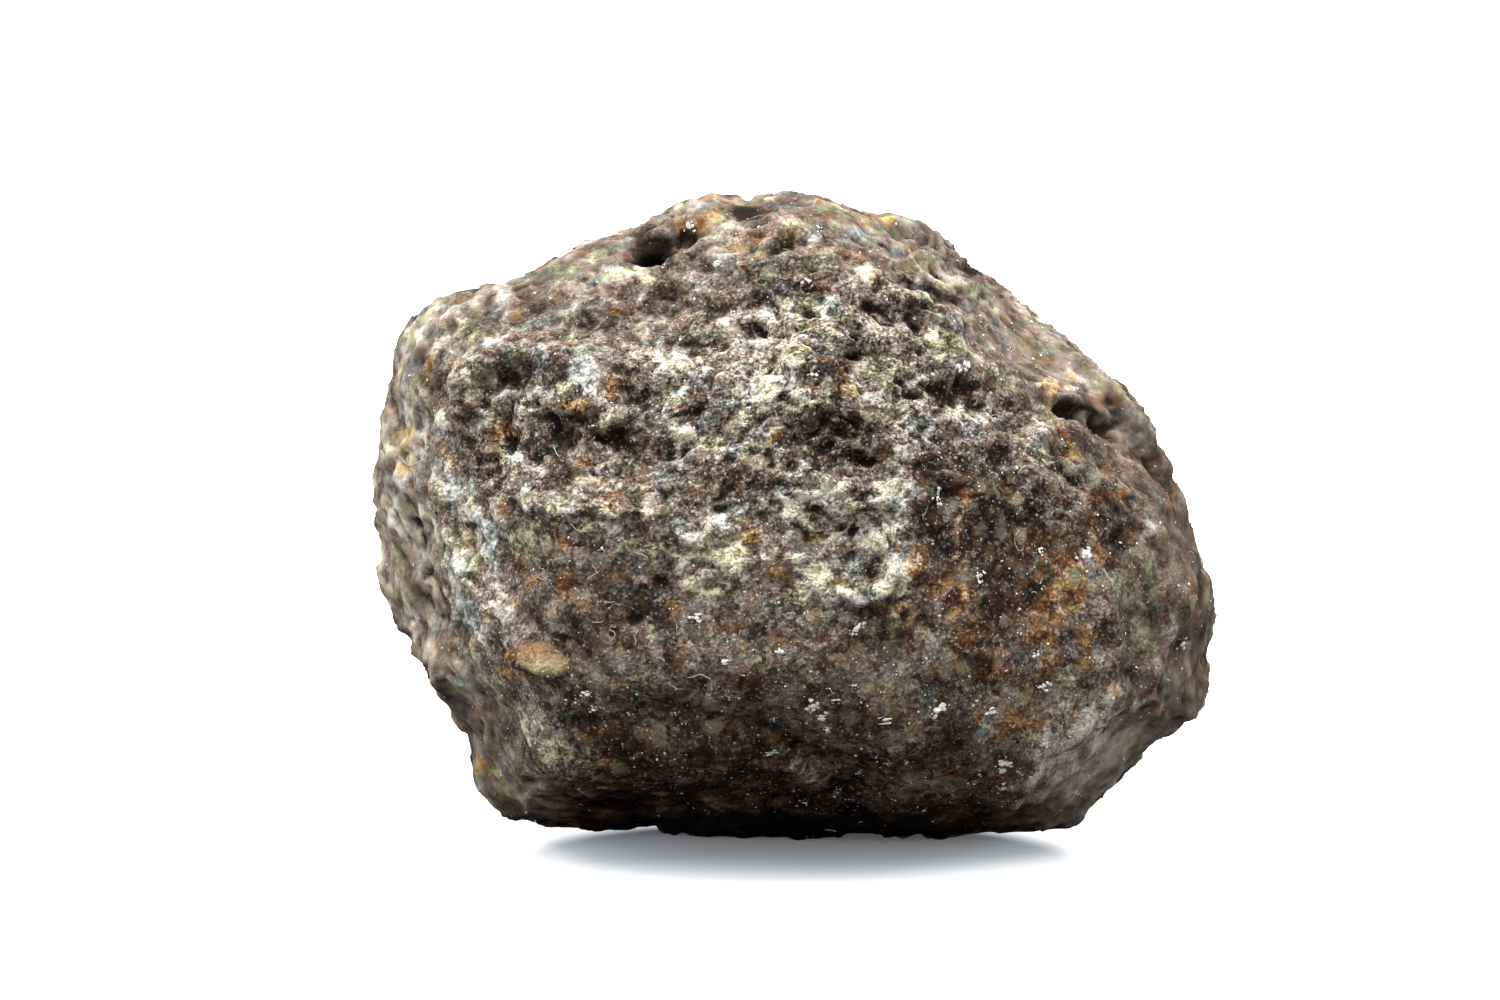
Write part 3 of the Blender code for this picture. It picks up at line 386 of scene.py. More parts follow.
        (-9.6, -5.4, 1.6, 0.5, -20), (4.3, -1.2, 0.7, 0.7), (1.6, -1.6, 0.8, 0.6),
        (2.2, 2.6, 2.4, 2), (7.9, 6, 2, 1.4), (2, 7.8, 2, 0.6), (-8.4, 3.6, 5, 0.9),
        (-10.9, 1.6, 2.4, 0.8), (-7.3, -4.3, 0.8, 0.6), (-10.3, -4.6, 1.6, 0.5),
        (0.6, 4.1, 1.4, 1.2), (8.9, 3.1, 1.4, 0.8), (6, 2.9, 1.2, 1), (5.7, -0.2, 1.6, 1.6),
        (12.8, 5.2, 1.8, 0.5, -20), (3.4, -2.2, 0.6, 1), (-1.5, -4.9, 0.8, 0.7),
        (-10.1, 4.6, 1.8, 0.6), (3, -0.5, 0.6, 0.6), (14.9, -6.8, 1.6, 1.2), (13.9, 3.4, 1, 0.8),
        (-3.4, 2.2, 1.6, 1), (9, -0.8, 1.2, 1), (-6.2, 12.2, 1.4, 0.8),
    ),
}

# How each kind of stain changes the ground: lighter or darker, greener, rustier, bluer
STAIN_LOOKS = {
    "cream": (0.27, 0.95, 0, 0),
    "ochre": (0.13, 0.6, 0.55, 0),
    "blue": (0.08, 0, 0, 0.95),
    "green": (0.04, 0.75, 0, 0.2),
    "tan": (0.14, 0.1, 0.75, 0),
    "rust": (-0.05, 0, 0.95, 0),
    "peach": (0.12, 0.1, 0.42, 0),
    "mauve": (0.12, 0, 0, 0),
    # Partly dark rock, partly painted shade
    "dark": (-0.16, 0, 0, 0),
    # Painted shade: much darker, a little rusty
    "shade_black": (-0.42, 0, 0.1, 0),
    "vein": (0.4, 0.1, 0.7, 0),
}

# The largest chondrule: place seen, width, height, tilt in degrees
CHONDRULE = (-11.4, -6.25, 2.3, 1.5, -18)

# Other clasts with a dark rim, in the same way
CLASTS = (
    (0.65, -11.4, 2.5, 1.8), (-10.7, -10.4, 1.9, 1.5), (5.6, -9.3, 0.9, 0.7), (8.9, 1.6, 1.1, 1.2),
    (-1.2, -1.4, 1.2, 1), (12.3, -6.9, 1.2, 1.1),
)

# Thin tan veins of the right front, as lines of places seen
VEINS = (
    ((7.8, 1.1), (7.6, 0.4), (7.35, -0.2), (7.3, -0.9), (7.2, -1.6)),
    ((7.65, -2), (7.7, -2.8), (7.5, -3.5)),
)

# White grains that lie on the stone: place seen, width, height
GRAINS = (
    (0.85, -8.35, 0.42, 0.36), (1.25, -8.85, 0.42, 0.26), (1.5, -9.4, 0.38, 0.22),
    (4.1, -9.05, 0.5, 0.2), (6.3, -8.5, 0.45, 0.4), (9.3, -10.95, 0.6, 0.36),
    (9.3, -12.05, 0.36, 0.3), (-3.1, -6.35, 0.36, 0.2), (-0.7, -5.9, 0.26, 0.26),
    (-1.1, -10.4, 0.45, 0.22), (-9.3, -7.85, 0.36, 0.2), (-9, -8.45, 0.28, 0.2),
    (-9.8, -8.2, 0.16, 0.14), (-7.4, -8.65, 0.16, 0.14), (-2.5, -8, 0.18, 0.14),
    (-0.9, -8.9, 0.16, 0.12), (2, -12.1, 0.22, 0.16), (2.5, -12.5, 0.2, 0.14),
    (0.5, -12.7, 0.2, 0.16), (2.9, -11.3, 0.3, 0.2), (4.3, -10.95, 0.36, 0.12),
    (5, -10.9, 0.16, 0.12), (7.1, -12.3, 0.18, 0.14), (8.3, -11.4, 0.16, 0.12),
    (10, -11.3, 0.18, 0.14), (10.7, -11.5, 0.18, 0.12), (11.3, -10.1, 0.18, 0.14),
    (12.3, -10.6, 0.18, 0.12), (11.2, -7.5, 0.34, 0.3), (10.8, -6.1, 0.26, 0.22),
    (11.3, -5.6, 0.16, 0.14), (10.1, -5.1, 0.18, 0.16), (8.8, -8.6, 0.4, 0.26),
    (2.6, -7.5, 0.18, 0.12), (4.6, -6.9, 0.16, 0.14), (2.85, -4.8, 0.36, 0.26),
    (2.6, -5.1, 0.2, 0.16), (6.4, 1.2, 0.3, 0.46), (6.5, 0.7, 0.2, 0.2), (8.3, -2.5, 0.26, 0.3),
    (11, -1.4, 0.26, 0.22), (13, -1.5, 0.46, 0.36), (7.65, 6.95, 0.46, 0.4),
    (12.55, 5.85, 0.3, 0.26), (1.1, 13.1, 0.26, 0.24), (0.6, 10.65, 0.34, 0.28),
    (4.1, 10.1, 0.18, 0.16), (-15.4, 7.55, 0.2, 0.2), (-2.1, 5.05, 0.2, 0.18),
    (-4.4, -4.35, 0.4, 0.22), (17.4, -5.6, 0.46, 0.3), (12.6, -12.3, 0.5, 0.16),
    (3.4, -9.7, 0.18, 0.12), (1.85, -8.1, 0.3, 0.1), (-3.5, 11.45, 0.5, 0.25),
    # The crumb at (-4.72, 13.1) lies where the pit's rim shows a glint: partly a painted highlight
    (-4.72, 13.1, 0.3, 0.36), (-2.7, 9.3, 0.2, 0.2), (1, 6.5, 0.26, 0.2), (13.9, -8.6, 0.2, 0.14),
    (9.6, -8, 0.16, 0.14), (-2.2, -6.9, 0.22, 0.1), (-5.4, -8.7, 0.14, 0.12),
    (5.9, -6.2, 0.16, 0.14),
)

# Lint that clings to the stone, as lines of places seen
FIBRES = (
    ((-17.6, 2.75), (-17.35, 2.5), (-17, 2.5), (-16.6, 2.7)),
    ((-4.8, -7), (-4.3, -6.95), (-3.9, -7), (-3.7, -7.3), (-3.75, -7.8), (-4, -7.7)),
    ((-5.7, -7.25), (-5.4, -7.5), (-5, -7.5)),
    ((10.1, -0.4), (9.85, -0.8), (9.9, -1.25), (10.15, -1.4), (10.3, -1.1)),
    ((-10, -0.1), (-9.75, -0.5), (-9.2, -0.55)), ((-9.1, -2), (-8.95, -2.15), (-8.8, -2.4)),
    ((-11.9, -2.8), (-11.5, -2.6), (-11.2, -2.3), (-11.3, -2.1)),
    ((-11.5, -2.6), (-11.2, -2.65), (-11, -2.5)), ((-10.8, 3.3), (-10.7, 3), (-10.5, 2.7)),
    ((-2.6, 4.8), (-2.4, 4.5), (-2.2, 4.4)), ((-12.7, -0.4), (-12.6, -0.6), (-12.4, -0.7)),
    ((10, 2.1), (10.3, 2.35), (10.7, 2.4)), ((10.6, 4.1), (10.85, 4.15), (11.1, 4.25)),
    ((-8.1, -4.6), (-8.3, -4.9), (-8, -5.1), (-8.2, -5.4)),
    ((-8.6, -4.5), (-8.9, -4.6), (-9.1, -4.5)), ((-7, -4.9), (-7.15, -5.2), (-7.1, -5.6)),
    ((-11.2, -4.3), (-11, -4.55), (-10.7, -4.6)), ((5.9, -8.7), (6.2, -8.9), (6.5, -8.95)),
    ((-14.9, 0.2), (-14.8, -0.2), (-14.5, -0.5)), ((8.6, 4.5), (8.9, 4.7), (9.2, 4.6)),
)


@dataclass(frozen=True)
class View:
    """The front viewpoint, which looks at the stone from a little above.

    Attributes:
        distance: From the viewpoint to the stone's middle.
        fall: Angle by which the line of sight falls, in radians.
        right_offset: How far the viewpoint stands to the right of the middle.
        up_offset: How far it stands above the line to the middle.
        middle_height: The middle's height over the floor.
    """

    distance: float = 187.0
    fall: float = math.radians(9.0)
    right_offset: float = -2.0
    up_offset: float = 0.9
    middle_height: float = 13.4

    @property
    def right(self) -> Array:
        """Direction to the viewpoint's right."""
        return np.array([1.0, 0.0, 0.0])

    @property
    def forward(self) -> Array:
        """Direction of the line of sight."""
        return np.array([0.0, math.cos(self.fall), -math.sin(self.fall)])

    @property
    def up(self) -> Array:
        """Direction of the viewpoint's upright."""
        return np.array([0.0, math.sin(self.fall), math.cos(self.fall)])

    @property
    def eye(self) -> Array:
        """The viewpoint, from the stone's middle."""
        aside = self.right_offset * self.right + self.up_offset * self.up
        return aside - self.distance * self.forward

    def seen(self, points: Array) -> Array:
        """Places of points as the viewpoint sees them.

        Formula: the shift from the line of sight times distance / (distance + depth).

        Args:
            points: Points from the stone's middle, one in each row.

        Returns:
            Millimetres to the right of the middle and above it, one pair in each row.
        """
        offset = np.array([self.right_offset, self.up_offset])
        nearness = self.distance / (self.distance + points @ self.forward)
        flat = np.stack([points @ self.right, points @ self.up], axis=1) - offset
        return flat * nearness[:, None] + offset

    def facing(self, points: Array, outward: Array) -> Array:
        """Cosine of the angle between each outward direction and the way to the eye."""
        to_eye = self.eye - points
        return (outward * to_eye).sum(axis=1) / np.linalg.norm(to_eye, axis=1)


def ramp(values: Array, low: float, high: float) -> Array:
    """Smooth step: 3t² - 2t³, with t from 0 at low to 1 at high, which may be the lesser."""
    share = np.clip((values - low) / (high - low), 0.0, 1.0)
    return share * share * (3.0 - 2.0 * share)


@dataclass(frozen=True)
class Noise:
    """Smooth noise on a lattice of random slopes, from about -1 to 1.

    Attributes:
        seed: Which noise it is.
        size: From lump to lump.
        period: Lattice cells along each axis before it repeats.
        gain: What brings the blended slopes to about -1 to 1.
    """

    seed: int
    size: float
    period: int = 32
    gain: float = 1.6

    @cached_property
    def slopes(self) -> Array:
        """A random unit slope for each corner of the lattice."""
        slopes = np.random.default_rng(self.seed).normal(size=(self.period,) * 3 + (3,))
        return slopes / np.linalg.norm(slopes, axis=-1, keepdims=True)

    def at(self, points: Array) -> Array:
        """Noise at points.

        Formula: each of a cell's eight corners gives its slope times the way from it,
        and these are blended along each axis by 6t⁵ - 15t⁴ + 10t³.

        Args:
            points: Points, one in each row.

        Returns:
            One value for each point.
        """
        place = points / self.size
        corner = np.floor(place).astype(int)
        inside = place - corner
        blend = inside**3 * (inside * (inside * 6.0 - 15.0) + 10.0)
        total = np.zeros(len(points))
        for step in np.ndindex(2, 2, 2):
            offset = np.array(step)
            i, j, k = ((corner + offset) % self.period).T
            weight = np.prod(np.where(offset, blend, 1.0 - blend), axis=1)
            total += weight * ((inside - offset) * self.slopes[i, j, k]).sum(axis=1)
        return self.gain * total

    def ridges(self, points: Array) -> Array:
        """Sharp crests between blunt hollows: 0.5 - 2 |noise|."""
        return 0.5 - 2.0 * np.abs(self.at(points))


def noise_push(points: Array, size: float, seeds: tuple[int, ...]) -> Array:
    """A push at each point, from one noise of this size for each direction."""
    return np.stack([Noise(seed, size).at(points) for seed in seeds], axis=1)


@dataclass(frozen=True)
class Cobbles:
    """Space packed with uneven cells, each round a random point.

    Attributes:
        seed: Which packing it is.
        size: From cell to cell.
        period: Cells along each axis before the packing repeats.
    """

    seed: int
    size: float
    period: int = 32

    def at(self, points: Array) -> tuple[Array, Array, Array]:
        """Which cell each point lies in, and how deep.

        Formula: each lattice cell holds one random point. The nearest and the second
        nearest of them, among the 27 cells round a point, give the distances.

        Args:
            points: Points, one in each row.

        Returns:
            Distance to the nearest centre, distance to the second nearest, both as
            shares of the size, and a random number from 0 to 1 that is the cell's own.
        """
        rng = np.random.default_rng(self.seed)
        centres = rng.random((self.period,) * 3 + (3,))
        marks = rng.random((self.period,) * 3)
        place = points / self.size
        corner = np.floor(place).astype(int)
        nearest = np.full(len(points), np.inf)
        second = np.full(len(points), np.inf)
        mark = np.zeros(len(points))
        for step in np.ndindex(3, 3, 3):
            cell = corner + np.array(step) - 1
            i, j, k = (cell % self.period).T
            apart = np.linalg.norm(place - cell - centres[i, j, k], axis=1)
            closer = apart < nearest
            second = np.where(closer, nearest, np.minimum(second, apart))
            mark = np.where(closer, marks[i, j, k], mark)
            nearest = np.where(closer, apart, nearest)
        return nearest, second, mark


@dataclass
class Skin:
    """A closed surface of four-sided faces.

    Attributes:
        points: Its points, one in each row.
        quads: Four point numbers in each row, anticlockwise from outside.
    """

    points: Array
    quads: Array

    @cached_property
    def links(self) -> tuple[Array, Array]:
        """Both ends of every side of every face."""
        ends = np.concatenate([self.quads[:, [k, (k + 1) % 4]] for k in range(4)])
        return ends[:, 0], ends[:, 1]

    def outward(self) -> Array:
        """Outward direction at each point: the mean of the faces' crossed diagonals."""
        first = self.points[self.quads[:, 2]] - self.points[self.quads[:, 0]]
        second = self.points[self.quads[:, 3]] - self.points[self.quads[:, 1]]
        across = np.cross(first, second)
        total = np.zeros_like(self.points)
        for axis in range(3):
            weights = np.repeat(across[:, axis], 4)
            total[:, axis] = np.bincount(self.quads.ravel(), weights, len(total))
        return total / np.linalg.norm(total, axis=1, keepdims=True)

    def spread(self, values: Array, times: int) -> Array:
        """Values evened out between neighbours.

        Formula: each time, a value becomes half itself and half its neighbours' mean.

        Args:
            values: One value for each point.
            times: How often this is done.

        Returns:
            The evened values.
        """
        here, there = self.links
        degree = np.bincount(here, minlength=len(values))
        for _ in range(times):
            around = np.bincount(here, values[there], len(values)) / degree
            values = 0.5 * values + 0.5 * around
        return values

    def spread_rows(self, rows: Array, times: int) -> Array:
        """Rows of values evened out between neighbours, each column on its own."""
        return np.stack([self.spread(column, times) for column in rows.T], axis=1)

    def mesh(self, name: str, lift: float, smooth: bool = True) -> Mesh:
        """The surface as a mesh in metres.

        Args:
            name: The mesh's name.
            lift: How far the points are raised, in millimetres.
            smooth: Whether it is shaded smooth.

        Returns:
            The mesh.
        """
        mesh = bpy.data.meshes.new(name)
        places = (self.points + np.array([0.0, 0.0, lift])) * MM
        mesh.from_pydata(places.tolist(), [], self.quads.tolist())
        mesh.polygons.foreach_set("use_smooth", np.full(len(mesh.polygons), smooth))
        mesh.update()
        return mesh


def gridded_ball(cells: int) -> Skin:
    """A ball of radius 1 whose six sides are cut into a square grid of cells.

    Formula: a cube's grid corners go to the tangent of 45 degrees times their place,
    from -1 to 1 along each side, and then out to the ball.

    Args:
        cells: Grid cells along each side.

    Returns:
        The ball, with the corners that sides share merged.
    """
    steps = np.arange(cells + 1)
    across, along = np.meshgrid(steps, steps, indexing="ij")
    first = np.arange(cells)[:, None] * (cells + 1) + np.arange(cells)[None, :]
    side_quads = np.stack([first, first + 1, first + cells + 2, first + cells + 1], axis=-1)
    side_quads = side_quads.reshape(-1, 4)
    corners, quads = [], []
    for axis in range(3):
        for side in (0, cells):
            place = np.zeros((cells + 1, cells + 1, 3), int)
            place[..., axis] = side
            place[..., (axis + 1) % 3] = across
            place[..., (axis + 2) % 3] = along
            turned = side_quads if side == 0 else side_quads[:, ::-1]
            quads.append(turned + len(corners) * (cells + 1) ** 2)
            corners.append(place.reshape(-1, 3))
    merged, number = np.unique(np.concatenate(corners), axis=0, return_inverse=True)
    cube = np.tan((merged / cells * 2.0 - 1.0) * math.pi / 4.0)
    ball = cube / np.linalg.norm(cube, axis=1, keepdims=True)
    return Skin(ball, number.reshape(-1)[np.concatenate(quads)])


def distance_to_line(points: Array, line: Array) -> Array:
    """Distance from points to a line of straight pieces.

    Args:
        points: Points, one in each row.
        line: The line's corners, one in each row.

    Returns:
        The least distance for each point.
    """
    nearest = np.full(len(points), np.inf)
    for start, end in zip(line[:-1], line[1:]):
        run = end - start
        share = np.clip((points - start) @ run / max(run @ run, TINY), 0.0, 1.0)
        apart = np.linalg.norm(points - start - np.outer(share, run), axis=1)
        nearest = np.minimum(nearest, apart)
    return nearest


def smooth_line(corners: Array, pieces: int) -> Array:
    """A smooth line through corners, by the Catmull-Rom formula.

    Formula: between two corners, a cubic whose slope at each is half the way between
    the corners on either side of it.

    Args:
        corners: Corners, one in each row.
        pieces: Pieces between one corner and the next.

    Returns:
        The line's points, one in each row.
    """
    before_first = 2 * corners[:1] - corners[1:2]
    after_last = 2 * corners[-1:] - corners[-2:-1]
    padded = np.concatenate([before_first, corners, after_last])
    share = (np.arange(pieces) / pieces)[None, :, None]
    before, start, end, after = (padded[k : len(padded) - 3 + k, None] for k in range(4))
    curve = 0.5 * (
        2 * start
        + (end - before) * share
        + (2 * before - 5 * start + 4 * end - after) * share**2
        + (3 * start - before - 3 * end + after) * share**3
    )
    return np.concatenate([curve.reshape(-1, corners.shape[1]), corners[-1:]])


def direction(degrees_round: float, degrees_up: float) -> Array:
    """Unit vector from the middle to a place round the stone."""
    turn, rise = math.radians(degrees_round), math.radians(degrees_up)
    return np.array(
        [math.sin(turn) * math.cos(rise), -math.cos(turn) * math.cos(rise), math.sin(rise)]
    )


def add_piece(mesh: Mesh, material: Material) -> bpy.types.Object:
    """Put a piece of the object in the scene.

    Args:
        mesh: Its mesh, in metres, in place, with the piece's name.
        material: Its finish.

    Returns:
        The new object, riding on the stone's body.
    """
    mesh.materials.append(material)
    piece = bpy.data.objects.new(mesh.name, mesh)
    bpy.context.scene.collection.objects.link(piece)
    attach(piece, BODY)
    LOG.info("%s: %d points, %d faces", mesh.name, len(mesh.vertices), len(mesh.polygons))
    return piece


@dataclass
class Stone:
    """The whole stone: its broken faces, relief, crags and stains.

    Attributes:
        view: The front viewpoint.
        width: The stone's width.
        grid_cells: Cells along each side of the ball that it starts from.
        crowding: How much the grid crowds to the front.
        edge_sharpness: How sharp the edges between broad faces are.
        form_push, small_form_push, crag_push, stain_push: How far noise pushes broad
            forms, small forms, crags and the rims of stains about.
        crag_shape: How wide, deep and high crags come out, against each other.
        lean: How far crests lean down over what is under them, against their height.
        swell_height, crag_height: Heights of the low swell and of the crags.
        cobble_sizes, cobble_heights: Widths and heights of large and small cobbles.
        ridge_sizes: From ridge to ridge, large to small.
        ridge_height: How high a ridge of size 1 stands.
        pinhole_share, pinhole_depth: Share of small cobbles with a pinhole, and its depth.
        evenings: How often the surface is evened to find fine and broad hollows.
        far_contrast: How much noise changes light, green, rusty and blue out of sight.
        far_darkening, far_grit: How much darker, and how gritty, it is out of sight.
        scale: The stone's own scale about its middle, which build sets.
    """

    view: View
    width: float
    grid_cells: int = 128
    crowding: float = 0.3
    edge_sharpness: float = 13.0
    form_push: float = 0.45
    small_form_push: float = 0.3
    crag_push: float = 0.42
    crag_shape: tuple[float, ...] = (1.35, 1.2, 1.0)
    lean: float = 0.5
    swell_height: float = 0.5
    crag_height: float = 0.2
    cobble_sizes: tuple[float, float] = (1.7, 0.75)
    cobble_heights: tuple[float, float] = (0.24, 0.15)
    ridge_sizes: tuple[float, ...] = (1.2, 0.75, 0.48)
    ridge_height: float = 0.22
    pinhole_share: float = 0.14
    pinhole_depth: float = 0.16
    evenings: tuple[int, int] = (5, 60)
    stain_push: float = 0.25
    far_contrast: tuple[float, ...] = (0.12, 0.2, -0.3, 0.1)
    far_darkening: float = 0.17
    far_grit: float = 0.5
    scale: float = 1.0

    def broken_faces(self, directions: Array) -> Array:
        """Points where directions from the middle meet the broad faces.

        Formula: a direction's reach is the power mean of its cosine to each face over
        that face's distance, so that edges come out rounded.

        Args:
            directions: Unit vectors, one in each row.

        Returns:
            A point along each direction.
        """
        normals = np.array([direction(turn, rise) for _, turn, rise, _ in FACES])
        distances = np.array([distance for *_, distance in FACES])
        reach = np.maximum(directions @ normals.T, 0.0) / distances
        radius = (reach**self.edge_sharpness).sum(axis=1) ** (-1.0 / self.edge_sharpness)
        return directions * radius[:, None]

    def fit_outline(self, points: Array, hold: float, bins: int = 144) -> Array:
        """Points drawn in or out across the line of sight until the rim meets the outline.

        Formula: in each of the bins round the line of sight, the wanted reach over the
        rim's reach, by a share that is (reach / rim) to the power of hold.

        Args:
            points: Points from the middle.
            hold: How fast the change fades towards the middle of the front and back.
            bins: Bins round the line of sight.

        Returns:
            The moved points.
        """
        flat = self.view.seen(points)
        turns = np.arctan2(flat[:, 1], flat[:, 0])
        reach = np.hypot(flat[:, 0], flat[:, 1])
        corners = np.array(OUTLINE)
        corner_turns = np.arctan2(corners[:, 1], corners[:, 0])
        order = np.argsort(corner_turns)
        corner_reach = np.hypot(corners[:, 0], corners[:, 1])
        bin_turns = (np.arange(bins) + 0.5) / bins * 2 * math.pi - math.pi
        bin_of = ((turns + math.pi) / (2 * math.pi) * bins).astype(int) % bins
        rim = np.zeros(bins)
        np.maximum.at(rim, bin_of, reach)
        wanted = np.interp(bin_turns, corner_turns[order], corner_reach[order], period=2 * math.pi)
        stretch = wanted / rim
        stretch = (np.roll(stretch, 1) + 2 * stretch + np.roll(stretch, -1)) / 4
        share = np.clip(reach / np.interp(turns, bin_turns, rim, period=2 * math.pi), 0.0, 1.0)
        scale = 1 + (np.interp(turns, bin_turns, stretch, period=2 * math.pi) - 1) * share**hold
        return (
            np.outer(points @ self.view.right * scale, self.view.right)
            + np.outer(points @ self.view.up * scale, self.view.up)
            + np.outer(points @ self.view.forward, self.view.forward)
        )

    def under_places(self, points: Array, places: tuple[Place, ...] | Array) -> Array:
        """Points of the front surface under places that the viewpoint sees.

        Args:
            points: The surface's points.
            places: Places seen, right and up.

        Returns:
            The mean of each place's four nearest points, nearer ones counting more.
        """
        near = points[points @ self.view.forward < 3.0]
        flat = self.view.seen(near)
        found = []
        for place in places:
            apart = ((flat - np.array(place)) ** 2).sum(axis=1)
            closest = np.argpartition(apart, 4)[:4]
            weights = 1.0 / (apart[closest] + 0.02)
            found.append(weights @ near[closest] / weights.sum())
        return np.array(found)

    def relief(self, points: Array) -> Array:
        """Height of the ledges, lumps, hollows and pits.

        Formula: each form adds its height times exp(-(distance from its line / half
        width)²), with the distance measured from a point that noise has pushed about.

        Args:
            points: The surface's points before any relief.

        Returns:
            One height for each point.
        """
        height = np.zeros(len(points))
        pushed = points + self.form_push * noise_push(points, 1.4, (27, 28, 29))
        for _, places, half_width, rise in FRONT_RELIEF:
            line = self.under_places(points, places)
            height += rise * np.exp(-((distance_to_line(pushed, line) / half_width) ** 2))
        for _, places, half_width, rise in FAR_RELIEF:
            line = self.broken_faces(np.array([direction(turn, up) for turn, up in places]))
            height += rise * np.exp(-((distance_to_line(pushed, line) / half_width) ** 2))
        return height

    def small_relief(self, points: Array, base: Array) -> tuple[Array, Array]:
        """Height of the small ledges, and depth of the small pits.

        Formula: a ledge is exp(-d⁴) and a pit exp(-d²), with d the distance from its
        line over its half width.

        Args:
            points: The surface's points, bent a little so that the forms come out uneven.
            base: The surface's points as they are.

        Returns:
            One height and one depth for each point.
        """
        height = np.zeros(len(points))
        depth = np.zeros(len(points))
        for _, places, half_width, rise in LEDGES:
            line = self.under_places(base, places)
            height += rise * np.exp(-((distance_to_line(points, line) / half_width) ** 4))
        for start, end, half_width, fall in PITS:
            line = self.under_places(base, (start, end))
            depth += fall * np.exp(-((distance_to_line(points, line) / half_width) ** 2))
        return height, depth

    def ground(self, points: Array, outward: Array) -> tuple[Array, Array, Array]:
        """What the ground is like at each point.

        Formula: the mean of the spots, each counting exp(-(distance seen / reach)²), and
        of the far sides' values where the viewpoint doesn't see the surface.

        Args:
            points: The surface's points.
            outward: The outward direction at each.

        Returns:
            Cover of pale crust, roughness and rusty brown, each from 0 to 1.
        """
        flat = self.view.seen(points)
        spots = np.array(GROUND)
        apart = np.hypot(flat[:, None, 0] - spots[:, 0], flat[:, None, 1] - spots[:, 1])
        front = self.in_sight(points, outward)
        weights = np.exp(-((apart / spots[:, 2]) ** 2)) + TINY
        share = (weights @ spots[:, 3:]) / weights.sum(axis=1, keepdims=True)
        far = np.array(FAR_GROUND) * (1.0 - front[:, None])
        return tuple((share * front[:, None] + far).T)

    def in_sight(self, points: Array, outward: Array) -> Array:
        """1 where the front viewpoint sees the surface, falling to 0 where it doesn't."""
        front = ramp(self.view.facing(points, outward), -0.05, 0.25)
        return front * ramp(points @ self.view.forward, 9.0, 4.0)

    def smoothness(self, points: Array) -> Array:
        """1 on the smooth low front, falling to 0 on the rough parts."""
        flat = self.view.seen(points)
        most = np.zeros(len(points))
        for right, up, half_width, half_height in SMOOTH_PATCHES:
            apart = np.hypot((flat[:, 0] - right) / half_width, (flat[:, 1] - up) / half_height)
            most = np.maximum(most, np.clip(2.6 - 2.0 * apart, 0.0, 1.0))
        return np.where(points @ self.view.forward < 0.0, most, 0.0)

    def bent(self, points: Array) -> Array:
        """Points pushed about by noise, and drawn in so that crags come out wider than high."""
        push = noise_push(points, 1.9, (21, 22, 23))
        return (points + self.crag_push * push) / np.array(self.crag_shape)

    def crags(self, points: Array) -> Array:
        """Height of the low swell and of the crags of the rough parts."""
        rough = 1.0 - 0.8 * self.smoothness(points)
        broad = Noise(5, 2.6).ridges(points)
        fine = Noise(6, 1.3).ridges(points)
        swell = self.swell_height * Noise(4, 6.5).at(points)
        return swell + self.crag_height * rough * (broad + 0.6 * fine)

    def fine_crags(self, points: Array, rough: Array) -> Array:
        """Height of the cobbles, sharp fine ridges, grit and pinholes.

        Formula: cobbles are steps up from the cracks between cells, ridges are noise
        folded at zero, each size with a height to match, and a pinhole is sunk in the
        middle of one cell in seven.

        Args:
            points: The surface's points with the broad forms raised.
            rough: How rough the ground is at each point.

        Returns:
            One height for each point.
        """
        bent = self.bent(points)
        large_size, small_size = self.cobble_sizes
        large_height, small_height = self.cobble_heights
        nearest, second, _ = Cobbles(31, large_size).at(bent)
        large = ramp(second - nearest, 0.0, 0.36) - 0.75
        nearest, second, mark = Cobbles(32, small_size).at(bent)
        small = ramp(second - nearest, 0.0, 0.4) - 0.7
        pinholes = ramp(nearest, 0.36, 0.12) * (mark < self.pinhole_share)
        ridges = sum(
            size**0.7 * Noise(70 + step, size).ridges(bent)
            for step, size in enumerate(self.ridge_sizes)
        )
        lumps = Noise(9, 0.8).at(points) + 0.5 * Noise(10, 0.42).at(points)
        fine = large_height * large + small_height * small + self.ridge_height * ridges
        fine = fine - self.pinhole_depth * pinholes
        return rough * fine + (0.02 + 0.05 * rough) * lumps

    def build(self) -> Skin:
        """The stone's surface: faces, outline, broad forms, fine crags and flat spot."""
        ball = gridded_ball(self.grid_cells)
        crowded = ball.points - self.crowding * self.view.forward
        crowded /= np.linalg.norm(crowded, axis=1, keepdims=True)
        base = Skin(self.fit_outline(self.broken_faces(crowded), hold=2.0), ball.quads)
        height = self.relief(base.points) + self.crags(base.points)
        crest = np.clip(height - base.spread(height, 60), 0.0, 1.0)
        broad = base.points + base.outward() * height[:, None]
        broad[:, 2] -= self.lean * crest
        form = Skin(broad, ball.quads)
        wobble = self.small_form_push * noise_push(base.points, 0.8, (24, 25, 26))
        ledges, pits = self.small_relief(base.points + wobble, base.points)
        outward = form.outward()
        _, rough, _ = self.ground(form.points, outward)
        fine = self.fine_crags(form.points, rough) + ledges - pits
        body = self.fit_outline(form.points + outward * fine[:, None], hold=6.0)
        self.scale = self.width / np.ptp(body[:, 0])
        body *= self.scale
        body[:, 2] = np.maximum(body[:, 2], -self.view.middle_height)
        return Skin(body, ball.quads)

